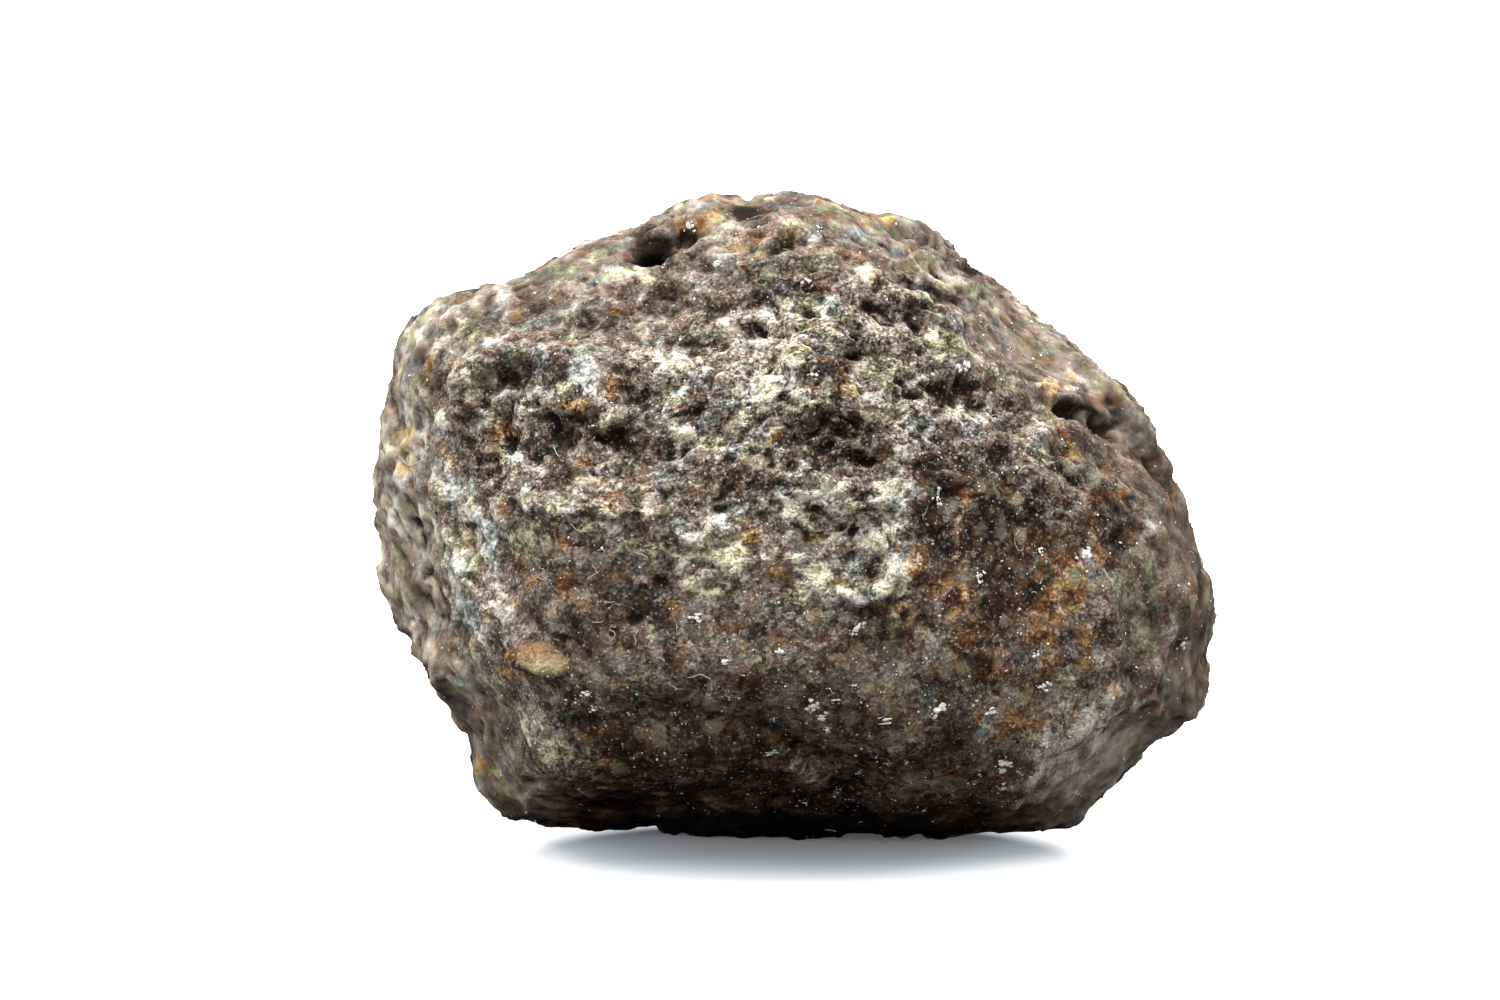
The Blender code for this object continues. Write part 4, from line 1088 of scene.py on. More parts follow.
    def ellipse(self, flat: Array, place: Ellipse) -> tuple[Array, Array]:
        """Where points lie in an ellipse that the viewpoint sees.

        Args:
            flat: The points as seen.
            place: The ellipse's middle, width, height, and its tilt in degrees if any.

        Returns:
            Across it and up it, each 1 at the rim.
        """
        right, up, wide, high, *tilt = place
        turn = math.radians(sum(tilt))
        cosine, sine = math.cos(turn), math.sin(turn)
        across = (flat[:, 0] - right) * cosine + (flat[:, 1] - up) * sine
        along = (flat[:, 1] - up) * cosine - (flat[:, 0] - right) * sine
        return across / (wide / 2), along / (high / 2)

    def stains(self, points: Array, front: Array) -> dict[str, Array]:
        """How strongly each kind of stain lies at each point.

        Formula: 1 in the middle of an ellipse, 0.5 on its rim and 0 some way outside it.
        Where the front viewpoint doesn't see, noise alone places stains of each kind.

        Args:
            points: The finished surface's points.
            front: 1 where the viewpoint sees the surface, and 0 where it doesn't.

        Returns:
            For each kind a value from 0 to 1 at each point.
        """
        push = noise_push(points, 0.9, (41, 42))
        flat = self.view.seen(points / self.scale) + self.stain_push * push
        kinds = {}
        for number, (kind, places) in enumerate(STAINS.items()):
            strength = np.zeros(len(points))
            for place in places:
                rim = np.hypot(*self.ellipse(flat, place))
                strength = np.maximum(strength, np.clip(1.25 - 0.75 * rim, 0.0, 1.0))
            loose = Noise(50 + number, 1.9).at(points) + 0.5 * Noise(60 + number, 0.8).at(points)
            kinds[kind] = strength * front + ramp(loose, 0.2, 0.9) * (1.0 - front)
        veins = np.full(len(points), np.inf)
        for places in VEINS:
            veins = np.minimum(veins, distance_to_line(flat, smooth_line(np.array(places), 4)))
        kinds["vein"] = ramp(veins, 0.24, 0.08) * front
        return kinds

    def sunk_and_raised(self, skin: Skin, outward: Array) -> tuple[Array, Array]:
        """How sunk and how raised each point is.

        Formula: smooth steps of how far the surface, evened a little and evened a lot,
        lies over or under a point.

        Args:
            skin: The finished surface.
            outward: The outward direction at each of its points.

        Returns:
            How sunk and how raised, each from 0 to 1.
        """
        evened = [skin.spread_rows(skin.points, times) for times in self.evenings]
        fine, broad = (((even - skin.points) * outward).sum(axis=1) for even in evened)
        sunk = 0.8 * ramp(broad, 0.1, 0.5) + 0.6 * ramp(fine, 0.01, 0.05)
        raised = ramp(-broad, 0.02, 0.22) * 0.6 + ramp(-fine, 0.0, 0.03)
        return np.clip(sunk, 0.0, 1.0), np.clip(raised, 0.0, 1.0)

    def ring(self, reach: Array, middle: float) -> Array:
        """A band round an ellipse: exp(-((reach - middle) / 0.2)²)."""
        return np.exp(-(((reach - middle) / 0.2) ** 2))

    def hues(self, points: Array, front: Array, cover: Array, brown: Array) -> Array:
        """How light, green, rusty and blue the ground is before its stains.

        Args:
            points: The finished surface's points.
            front: 1 where the viewpoint sees the surface, and 0 where it doesn't.
            cover: Cover of pale crust.
            brown: Rusty brown.

        Returns:
            The four values, one row for each point.
        """
        far = 1.0 - front
        far_noise = (Noise(57, 3.4).at(points) + 0.5 * Noise(58, 1.5).at(points)) * far
        hues = [
            0.6 * (cover - 0.36),
            0.26 + 0.2 * cover,
            0.06 + 0.7 * brown,
            0.2 + 0.22 * cover,
        ]
        hues = np.stack(hues, axis=1) + far_noise[:, None] * np.array(self.far_contrast)
        hues[:, 0] -= self.far_darkening * far
        return hues

    def paint(self, skin: Skin) -> dict[str, Array]:
        """How light, green, rusty, blue, hollow, rough and dusty each point is; hollow sets how
        much near-dark colour lies on it, partly real grime and partly painted shade.

        Formula: the ground's values, changed by each stain times its look. Grit is finest
        on the parts nearest the front.

        Args:
            skin: The finished surface.

        Returns:
            For each attribute a value at each point.
        """
        points = skin.points
        outward = skin.outward()
        sunk, raised = self.sunk_and_raised(skin, outward)
        even_outward = skin.spread_rows(outward, 12)
        cover, rough, brown = self.ground(points / self.scale, even_outward)
        front = self.in_sight(points, even_outward)
        hues = self.hues(points, front, cover, brown)
        stains = self.stains(points, front)
        for kind, strength in stains.items():
            look = np.array(STAIN_LOOKS[kind])
            hues[:, 0] += look[0] * strength
            hues[:, 1:] *= 1.0 - 0.8 * strength[:, None]
            hues[:, 1:] = np.maximum(hues[:, 1:], look[1:] * strength[:, None])
        flat = self.view.seen(points / self.scale)
        for place in CLASTS:
            reach = np.hypot(*self.ellipse(flat, place))
            hues[:, 0] += front * (0.14 * ramp(reach, 1.0, 0.8) - 0.2 * self.ring(reach, 1.05))
        across, along = self.ellipse(flat, CHONDRULE)
        reach = np.hypot(across, along)
        hues[:, 0] -= 0.22 * front * self.ring(reach, 1.2)
        # How much near-dark colour lies in sunk places: partly dirt, partly painted shade
        hollow = sunk * (0.7 + 0.3 * front)
        nearness = 0.1 + 0.9 * ramp(points @ self.view.forward, -2.5, -9.0)
        kinds = dict(zip(("light", "green", "rusty", "blue"), hues.T))
        # Lighter on raised places, darker in sunk ones: painted highlight, partly wear, and painted
        # shade, partly dirt
        kinds["light"] = kinds["light"] + 0.07 * raised - 0.25 * hollow
        # The stains of painted shade in pits and along the foot add to the near-dark colour
        kinds["hollow"] = np.maximum(hollow, 0.98 * ramp(stains["shade_black"], 0.25, 0.7))
        kinds["rough"] = rough
        kinds["dust"] = ramp(even_outward[:, 2], 0.0, 0.85) * (0.4 + 0.6 * raised)
        kinds["grit"] = nearness * front + self.far_grit * (1.0 - front)
        kinds["chondrule"] = ramp(reach, 1.1, 0.85) * front
        kinds["chondrule_side"] = ramp(0.6 * across - along, -0.6, 0.6)
        return kinds

    def dress(self, skin: Skin, kinds: dict[str, Array]) -> None:
        """Put the stone in the scene.

        Args:
            skin: The finished surface.
            kinds: For each attribute that its finish reads, a value at each point.
        """
        mesh = skin.mesh("chondrite_stone", self.view.middle_height)
        for kind, values in kinds.items():
            mesh.attributes.new(kind, "FLOAT", "POINT").data.foreach_set("value", values)
        piece = add_piece(mesh, RockFinish().material())
        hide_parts(NODE)


class Step(Enum):
    """What a Math node does."""

    ADD = "ADD"
    SUBTRACT = "SUBTRACT"
    MULTIPLY = "MULTIPLY"
    DIVIDE = "DIVIDE"
    POWER = "POWER"


class Blend(Enum):
    """How a Mix node lays one colour over another."""

    OVER = "MIX"
    TIMES = "MULTIPLY"


class Wire:
    """An output socket of a material's nodes, used in sums as a number is."""

    def __init__(self, nodes: Nodes, socket: bpy.types.NodeSocket) -> None:
        """Keep the socket and the nodes that it belongs to."""
        self.nodes = nodes
        self.socket = socket

    def __add__(self, other: Value) -> Wire:
        """This plus another."""
        return self.nodes.math(Step.ADD, self, other)

    def __radd__(self, other: Value) -> Wire:
        """A number plus this."""
        return self.nodes.math(Step.ADD, other, self)

    def __sub__(self, other: Value) -> Wire:
        """This less another."""
        return self.nodes.math(Step.SUBTRACT, self, other)

    def __rsub__(self, other: Value) -> Wire:
        """A number less this."""
        return self.nodes.math(Step.SUBTRACT, other, self)

    def __mul__(self, other: Value) -> Wire:
        """This times another."""
        return self.nodes.math(Step.MULTIPLY, self, other)

    def __rmul__(self, other: Value) -> Wire:
        """A number times this."""
        return self.nodes.math(Step.MULTIPLY, other, self)

    def __truediv__(self, other: Value) -> Wire:
        """This divided by another."""
        return self.nodes.math(Step.DIVIDE, self, other)

    def __rtruediv__(self, other: Value) -> Wire:
        """A number divided by this."""
        return self.nodes.math(Step.DIVIDE, other, self)

    def __pow__(self, other: Value) -> Wire:
        """This to the power of another."""
        return self.nodes.math(Step.POWER, self, other)

    def ramp(self, low: float, high: float) -> Wire:
        """A smooth step from 0 at low to 1 at high, which may be the lesser."""
        ends = {"From Min": min(low, high), "From Max": max(low, high)}
        goal = {"To Min": float(low > high), "To Max": float(low < high)}
        settings = {"interpolation_type": "SMOOTHSTEP"}
        return self.nodes.add("ShaderNodeMapRange", {"Value": self, **ends, **goal}, settings)


class Nodes:
    """The nodes of one material or world, and the ways to add to them."""

    def __init__(self, tree: bpy.types.NodeTree) -> None:
        """Empty the tree."""
        self.tree = tree
        tree.nodes.clear()

    def join(self, value: Value, socket: bpy.types.NodeSocket) -> None:
        """Give a socket a link or a value.

        Args:
            value: A wire, a number, or a colour or vector of three numbers.
            socket: The socket that gets it.
        """
        if isinstance(value, Wire):
            self.tree.links.new(value.socket, socket)
        elif isinstance(value, tuple) and socket.type == "RGBA":
            socket.default_value = (*value, 1.0)
        else:
            socket.default_value = value

    def add(
        self,
        kind: str,
        sockets: dict[str | int, Value] | None = None,
        settings: dict[str, Any] | None = None,
        output: str | int = 0,
    ) -> Wire:
        """Add a node.

        Args:
            kind: The node's type.
            sockets: Values or wires of its input sockets, by name or number.
            settings: Its settings, which are set first; "stops" fills a ramp.
            output: Name or number of the output socket wanted.

        Returns:
            The output socket as a wire, or the input of a node that has no outputs.
        """
        node = self.tree.nodes.new(kind)
        for name, value in (settings or {}).items():
            if name == "stops":
                stops = node.color_ramp.elements
                while len(stops) < len(value):
                    stops.new(1.0)
                for stop, (place, colour) in zip(stops, value):
                    stop.position = place
                    stop.color = (*colour, 1.0)
            elif name == "interpolation":
                node.color_ramp.interpolation = value
            else:
                setattr(node, name, value)
        for name, value in (sockets or {}).items():
            self.join(value, node.inputs[name])
        ends = node.outputs or node.inputs
        return Wire(self, ends[output])

    def math(self, step: Step, first: Value, second: Value) -> Wire:
        """A Math node on two values."""
        return self.add("ShaderNodeMath", {0: first, 1: second}, {"operation": step.value})

    def grey(self, value: Wire) -> Wire:
        """A value as a grey colour."""
        return self.add("ShaderNodeCombineColor", {0: value, 1: value, 2: value})

    def mix(self, share: Value, under: Value, over: Value, blend: Blend = Blend.OVER) -> Wire:
        """One colour laid over another, of which this share shows."""
        settings = {"data_type": "RGBA", "blend_type": blend.value, "clamp_factor": True}
        return self.add("ShaderNodeMix", {0: share, 6: under, 7: over}, settings, output=2)

    def attribute(self, name: str) -> Wire:
        """A value that the mesh holds at each point."""
        return self.add("ShaderNodeAttribute", {}, {"attribute_name": name}, output="Fac")

    def place(self) -> Wire:
        """The place on the object, in millimetres."""
        metres = self.add("ShaderNodeTexCoord", output="Object")
        return self.add("ShaderNodeVectorMath", {0: metres, 3: 1.0 / MM}, {"operation": "SCALE"})

    def noise(
        self, place: Wire, size: float, detail: float = 2.0, grain: float = 0.5, output: str = "Fac"
    ) -> Wire:
        """Cloudy noise from 0 to 1, or three such noises from the output "Color".

        Detail is how often it repeats at half the size, and grain how strongly each
        repeat counts beside the one before it.
        """
        sockets = {"Vector": place, "Scale": 1.0 / size, "Detail": detail, "Roughness": grain}
        return self.add("ShaderNodeTexNoise", sockets, {"normalize": True}, output)

    def three_noises(
        self, place: Wire, size: float, detail: float, grain: float
    ) -> tuple[Wire, Wire, Wire]:
        """Three noises of the same size that don't follow each other."""
        return self.parts(self.noise(place, size, detail, grain, output="Color"))

    def parts(self, vector: Wire) -> tuple[Wire, Wire, Wire]:
        """The three parts of a vector or colour."""
        node = self.add("ShaderNodeSeparateXYZ", {0: vector}).socket.node
        first, second, third = (Wire(self, socket) for socket in node.outputs)
        return first, second, third

    def bent(self, place: Wire, size: float, push: float) -> Wire:
        """A place pushed about by noise."""
        sockets = {0: self.noise(place, size, output="Color"), 1: (0.5, 0.5, 0.5)}
        centred = self.add("ShaderNodeVectorMath", sockets, {"operation": "SUBTRACT"})
        pushed = self.add("ShaderNodeVectorMath", {0: centred, 3: push}, {"operation": "SCALE"})
        return self.add("ShaderNodeVectorMath", {0: place, 1: pushed}, {"operation": "ADD"})

    def cracks(self, place: Wire, size: float) -> Wire:
        """How far from the crack between two grains, as a share of the grains' size."""
        sockets = {"Vector": place, "Scale": 1.0 / size}
        settings = {"feature": "DISTANCE_TO_EDGE"}
        return self.add("ShaderNodeTexVoronoi", sockets, settings, "Distance")

    def grains(self, place: Wire, size: float) -> tuple[Wire, Wire, Wire]:
        """Grains: how far from a grain's middle, and two numbers from 0 to 1 of its own."""
        sockets = {"Vector": place, "Scale": 1.0 / size}
        distance = self.add("ShaderNodeTexVoronoi", sockets, {"feature": "F1"}, "Distance")
        first, second, _ = self.parts(Wire(self, distance.socket.node.outputs["Color"]))
        return distance, first, second

    def bump(self, height: Wire, distance: float, strength: float = 1.0) -> Wire:
        """A normal bent by a relief from 0 to 1 that stands this many millimetres high."""
        sockets = {"Strength": strength, "Distance": distance * MM, "Height": height}
        return self.add("ShaderNodeBump", sockets)

    def finish(self, sockets: dict[str | int, Value]) -> None:
        """End a material with a Principled BSDF that has these sockets."""
        surface = self.add("ShaderNodeBsdfPrincipled", sockets)
        self.add("ShaderNodeOutputMaterial", {"Surface": surface})


def new_material(name: str) -> tuple[Material, Nodes]:
    """An empty material and its nodes."""
    material = bpy.data.materials.new(name)
    material.use_nodes = True
    return material, Nodes(material.node_tree)


def shown(red: int, green: int, blue: int) -> Colour:
    """A colour given as a screen shows it, from 0 to 255, as linear red, green and blue."""
    shares = (red / 255, green / 255, blue / 255)
    return tuple(((share + 0.055) / 1.055) ** 2.4 for share in shares)


@dataclass(frozen=True)
class RockFinish:
    """Mottled rock: four families of colour, each from dark to light.

    Attributes:
        steps: How light each colour of a family is, from 0 to 1.
        mauve, green, rusty, blue: Bare, crusted, rusty and blue-grey ground, as shown.
        hollow: Near-dark colour for hollows, partly real grime and partly painted shade, and for
            pinholes, painted shade.
        speck: The finest pale flakes, partly painted glints.
        chondrule: Both sides of the large chondrule, as shown.
        minerals: Where each mineral's share of the grains starts, and its colour.
        blotch_size, tint_size, sand_size: From blotch to blotch, in millimetres.
        grain_size, small_grain_size, flake_size: From grain to grain.
        relief: How high the fine relief stands.
        shine: The shader's specular level.
    """

    steps: tuple[float, ...] = (0.0, 0.3, 0.5, 0.68, 0.84, 1.0)
    mauve: tuple[Colour, ...] = (
        (19, 12, 7), (61, 46, 35), (109, 92, 81),
        (153, 139, 127), (196, 184, 169), (234, 228, 213),
    )
    green: tuple[Colour, ...] = (
        (16, 14, 9), (55, 53, 39), (102, 101, 79),
        (154, 151, 118), (205, 199, 160), (240, 235, 208),
    )
    rusty: tuple[Colour, ...] = (
        (20, 12, 6), (68, 44, 28), (118, 80, 48),
        (166, 129, 80), (205, 177, 124), (234, 219, 186),
    )
    blue: tuple[Colour, ...] = (
        (13, 13, 12), (50, 50, 48), (96, 99, 95),
        (147, 151, 146), (192, 197, 191), (234, 237, 234),
    )
    hollow: Colour = (0.0095, 0.006, 0.003)
    speck: Colour = (0.78, 0.77, 0.72)
    chondrule: tuple[Colour, Colour] = ((172, 134, 94), (196, 178, 136))
    minerals: tuple[tuple[float, Colour], ...] = (
        (0.0, (0.36, 0.32, 0.22)), (0.72, (0.19, 0.2, 0.16)), (0.79, (0.2, 0.085, 0.03)),
        (0.85, (0.32, 0.26, 0.22)), (0.9, (0.03, 0.025, 0.02)), (0.95, (0.34, 0.22, 0.08)),
    )
    blotch_size: float = 1.6
    tint_size: float = 1.15
    grain_size: float = 0.8
    small_grain_size: float = 0.3
    sand_size: float = 0.14
    flake_size: float = 0.1
    relief: float = 0.22
    shine: float = 0.12

    def family(self, nodes: Nodes, light: Wire, colours: tuple[Colour, ...]) -> Wire:
        """A family's colour at a lightness from 0 to 1."""
        stops = [(step, shown(*colour)) for step, colour in zip(self.steps, colours)]
        return nodes.add("ShaderNodeValToRGB", {"Fac": light}, {"stops": stops})

    def colour(self, nodes: Nodes, place: Wire, grain: Wire) -> Wire:
        """Base colour: a lightness mottled from broad patches down to grit, in four hues.

        Args:
            nodes: The material's nodes.
            place: The place on the stone, in millimetres.
            grain: The fine relief's height; the colour is lighter on its crests and darker between
                them, painted highlight and painted shade of that relief, partly wear.

        Returns:
            The colour.
        """
        broad, blot, patch = nodes.three_noises(place, self.blotch_size, 4.0, 0.58)
        tints = nodes.three_noises(nodes.bent(place, 0.7, 0.4), self.tint_size, 1.5, 0.5)
        sand, dusting, dirt_and_shade_noise = nodes.three_noises(place, self.sand_size, 2.5, 0.7)
        light, green, rusty, blue, hollow, grit, dust, rough = (
            nodes.attribute(kind)
            for kind in ("light", "green", "rusty", "blue", "hollow", "grit", "dust", "rough")
        )
        ragged = nodes.bent(nodes.bent(place, 0.8, 0.45), 0.3, 0.2)
        away, choice, tone = nodes.grains(ragged, self.grain_size)
        crack = nodes.cracks(ragged, self.grain_size).ramp(0.08, 0.0)
        _, salt, pepper = nodes.grains(nodes.bent(place, 0.2, 0.06), self.flake_size)
        _, _, small_tone = nodes.grains(ragged, self.small_grain_size)
        crisp = 0.25 + 0.75 * grit

        # Lightness, from broad patches down to grit
        value = 0.5 + 0.02 * rough + light * (blot * 2.6 - 0.5) + (broad - 0.5) * 0.5
        value = value + (patch - 0.5) * (0.6 + 0.7 * rough)
        value = value + (tone - 0.5) * (0.12 + 0.18 * rough) * crisp
        value = value + (small_tone - 0.5) * 0.26 * grit
        value = value + (sand - 0.5) * grit * (0.75 + 0.5 * rough + 0.9 * light)
        # Lighter on the fine relief's crests, darker between them: painted highlight and painted
        # shade, partly wear
        value = value + (grain - 0.5) * (0.2 + 0.5 * rough) + dust * (dusting - 0.5) * 0.5
        value = value - crack * (0.03 + 0.12 * rough) * crisp
        value = value + (light + (patch - 0.5) * 0.9).ramp(0.15, 0.21) * (0.03 + 0.11 * grit)

        # Hue
        colour = self.family(nodes, value, self.mauve)
        hues = ((green, self.green), (blue, self.blue), (rusty, self.rusty))
        for (strength, colours), tint in zip(hues, tints):
            mask = (strength + (tint - 0.5) * 1.8).ramp(0.3, 0.7)
            colour = nodes.mix(mask * 0.94, colour, self.family(nodes, value, colours))

        # Mineral grains, of which fewer than half show
        settings = {"stops": self.minerals, "interpolation": "CONSTANT"}
        mineral = nodes.add("ShaderNodeValToRGB", {"Fac": choice}, settings)
        spot = choice.ramp(0.56, 0.57) * (away + (sand - 0.5) * 0.9).ramp(0.62, 0.3)
        spot = spot * (0.14 + 0.5 * rusty + 0.4 * green) * (0.4 + tone)
        colour = nodes.mix(spot, colour, mineral)

        # The large chondrule
        orange, cream = (shown(*side) for side in self.chondrule)
        inside = nodes.mix(nodes.attribute("chondrule_side"), orange, cream)
        inside = nodes.mix(1.0, inside, nodes.grey(0.14 + patch * 0.5 + sand * 0.6), Blend.TIMES)
        colour = nodes.mix(nodes.attribute("chondrule") * 0.92, colour, inside)

        # Near-dark colour in hollows, partly dirt and partly painted shade; dark dots as painted
        # shade of pinholes; pale flakes, partly painted glints
        # Near-dark colour in hollows: partly dirt, partly painted shade
        dirt_and_shade = (hollow + (dirt_and_shade_noise - 0.5) * 0.9).ramp(0.35, 1.0) * 0.97
        colour = nodes.mix(dirt_and_shade, colour, self.hollow)
        # Dark dots with no hole under them: painted shade of pinholes
        pinhole = pepper.ramp(0.72, 1.0) * grit * (0.25 + 0.45 * rough)
        colour = nodes.mix(pinhole, colour, self.hollow)
        # Pale flakes, more on rough ground: partly real specks, partly painted glints
        flake = (salt + (patch - 0.5) * 0.25).ramp(0.86, 1.0) * (1.0 - 0.8 * hollow)
        return nodes.mix(flake * grit * (0.2 + 0.35 * rough), colour, self.speck)

    def material(self) -> Material:
        """The finished rock."""
        material, nodes = new_material("chondrite_rock")
        place = nodes.place()
        rough, grit = nodes.attribute("rough"), nodes.attribute("grit")
        grain = nodes.noise(place, 0.42, 2.5, 0.6)
        away, _, _ = nodes.grains(nodes.bent(place, 0.8, 0.5), 0.6)
        crumb, _, _ = nodes.grains(place, 0.18)
        height = grain * (0.3 + 1.7 * rough) - away * (0.05 + 0.5 * rough)
        height = (height - crumb * (0.1 + 0.25 * rough)) * (0.1 + 1.15 * grit)
        nodes.finish({
            "Base Color": self.colour(nodes, place, grain),
            "Roughness": 0.6 + 0.35 * grain,
            "Normal": nodes.bump(height, self.relief),
            "Specular IOR Level": self.shine,
        })
        return material


@dataclass(frozen=True)
class GrainFinish:
    """Loose mineral crumbs, white with pale grey patches."""

    white: Colour = (0.95, 0.94, 0.91)
    grey: Colour = (0.62, 0.6, 0.56)
    patch_size: float = 0.35
    sand_size: float = 0.08
    relief: float = 0.03

    def material(self) -> Material:
        """The finished crumbs."""
        material, nodes = new_material("mineral_dust")
        place = nodes.place()
        patch = nodes.noise(place, self.patch_size, 3.0)
        sand = nodes.noise(place, self.sand_size)
        colour = nodes.mix(patch.ramp(0.36, 0.5), self.grey, self.white)
        colour = nodes.mix(0.6, colour, nodes.grey(0.6 + 0.8 * sand), Blend.TIMES)
        nodes.finish({
            "Base Color": colour,
            "Roughness": 0.55 + 0.4 * patch,
            "Normal": nodes.bump(sand, self.relief, strength=0.7),
            "Specular IOR Level": 0.35,
        })
        return material


@dataclass(frozen=True)
class LintFinish:
    """Pale dust fibres, duller in patches along them."""

    pale: Colour = (0.66, 0.62, 0.56)
    dull: Colour = (0.42, 0.38, 0.33)
    patch_size: float = 0.25

    def material(self) -> Material:
        """The finished fibres."""
        material, nodes = new_material("lint")
        along = nodes.noise(nodes.place(), self.patch_size)
        nodes.finish({
            "Base Color": nodes.mix(along, self.dull, self.pale),
            "Roughness": 0.75 + 0.2 * along,
            "Specular IOR Level": 0.2,
        })
        return material


@dataclass
class Surface:
    """The finished stone's surface, to lay things on.

    Attributes:
        skin: The surface.
        view: The front viewpoint.
        scale: The stone's own scale about its middle.
    """

    skin: Skin
    view: View
    scale: float

    @cached_property
    def outward(self) -> Array:
        """Outward direction at each point, evened a little."""
        evened = self.skin.spread_rows(self.skin.outward(), 2)
        return evened / np.linalg.norm(evened, axis=1, keepdims=True)

    @cached_property
    def front(self) -> tuple[Array, Array]:
        """Numbers of the points that face the viewpoint, and the places where it sees them."""
        facing = self.view.facing(self.skin.points, self.outward) > 0.05
        near = self.skin.points @ self.view.forward < 6.0
        numbers = np.flatnonzero(facing & near)
        return numbers, self.view.seen(self.skin.points[numbers] / self.scale)

    def under(self, places: Array) -> Array:
        """Numbers of the surface points nearest to places that the viewpoint sees."""
        numbers, flat = self.front
        apart = ((flat[None, :, :] - places[:, None, :]) ** 2).sum(axis=2)
        return numbers[np.argmin(apart, axis=1)]

    def frames(self, numbers: Array) -> tuple[Array, Array, Array]:
        """Three directions at points: across, along and outward.

        Formula: across is the viewpoint's right less its part along outward, and along
        is outward crossed with across.

        Args:
            numbers: Numbers of surface points.

        Returns:
            Unit vectors across, along and outward, one row for each point.
        """
        outward = self.outward[numbers]
        right = self.view.right - (outward @ self.view.right)[:, None] * outward
        upright = self.view.up - (outward @ self.view.up)[:, None] * outward
        across = np.where(np.linalg.norm(right, axis=1, keepdims=True) > 0.3, right, upright)
        across /= np.linalg.norm(across, axis=1, keepdims=True)
        return across, np.cross(outward, across), outward


@dataclass
class Grains:
    """The white crumbs that lie on the stone's front, each a cluster of angular chips.

    Attributes:
        surface: What they lie on.
        swell: How much larger a crumb is than its whitest part seen.
        chips: Chips in each crumb.
        faces: Flat faces that bound each chip.
        cells: Cells along each side of the ball that a chip starts from.
        thickness: A chip's height against its least width.
        seed: Which random chips they are.
    """

    surface: Surface
    swell: float = 1.25
    chips: int = 9
    faces: int = 8
    cells: int = 4
    thickness: float = 0.6
    seed: int = 71

    def chip(self, rng: np.random.Generator, directions: Array) -> Array:
        """An angular chip about the origin, one unit in half width.

        Formula: a direction's reach ends at the nearest of the chip's flat faces.
        """
        normals = rng.normal(size=(self.faces, 3))
        normals /= np.linalg.norm(normals, axis=1, keepdims=True)
        distances = 0.45 + 0.4 * rng.random(self.faces)
        reach = np.maximum((directions @ normals.T) / distances, 0.7).max(axis=1)
        return directions / reach[:, None]

    def skin(self) -> Skin:
        """All chips as one surface.

        The first chip of each crumb fills most of its width and height, and the others
        are smaller and lie about its rim. All are flattened onto the surface under them.
        """
        rng = np.random.default_rng(self.seed)
        ball = gridded_ball(self.cells)
        points, quads = [], []
        for right, up, *size_seen in GRAINS:
            wide, high = (self.swell * size for size in size_seen)
            for number in range(self.chips):
                size = 0.6 if number == 0 else 0.14 + 0.4 * rng.random() ** 2
                turn = rng.random() * 2 * math.pi
                away = 0.0 if number == 0 else 0.2 + 0.5 * rng.random()
                shift = away * np.array([math.cos(turn) * wide, math.sin(turn) * high])
                spot = self.surface.under(np.array([[right, up]]) + shift)
                across, along, outward = self.surface.frames(spot)
                chip = self.chip(rng, ball.points) * size
                thick = self.thickness * min(wide, high) / 2
                quads.append(ball.quads + len(points) * len(ball.points))
                points.append(
                    self.surface.skin.points[spot]
                    + chip[:, 0:1] * wide / 2 * across
                    + chip[:, 1:2] * high / 2 * along
                    + (chip[:, 2:3] + 0.2 * size) * thick * outward
                )
        return Skin(np.concatenate(points), np.concatenate(quads))

    def dress(self, dust: Material) -> None:
        """Put the crumbs in the scene."""
        lift = self.surface.view.middle_height
        add_piece(self.skin().mesh("white_crumbs", lift, smooth=False), dust)


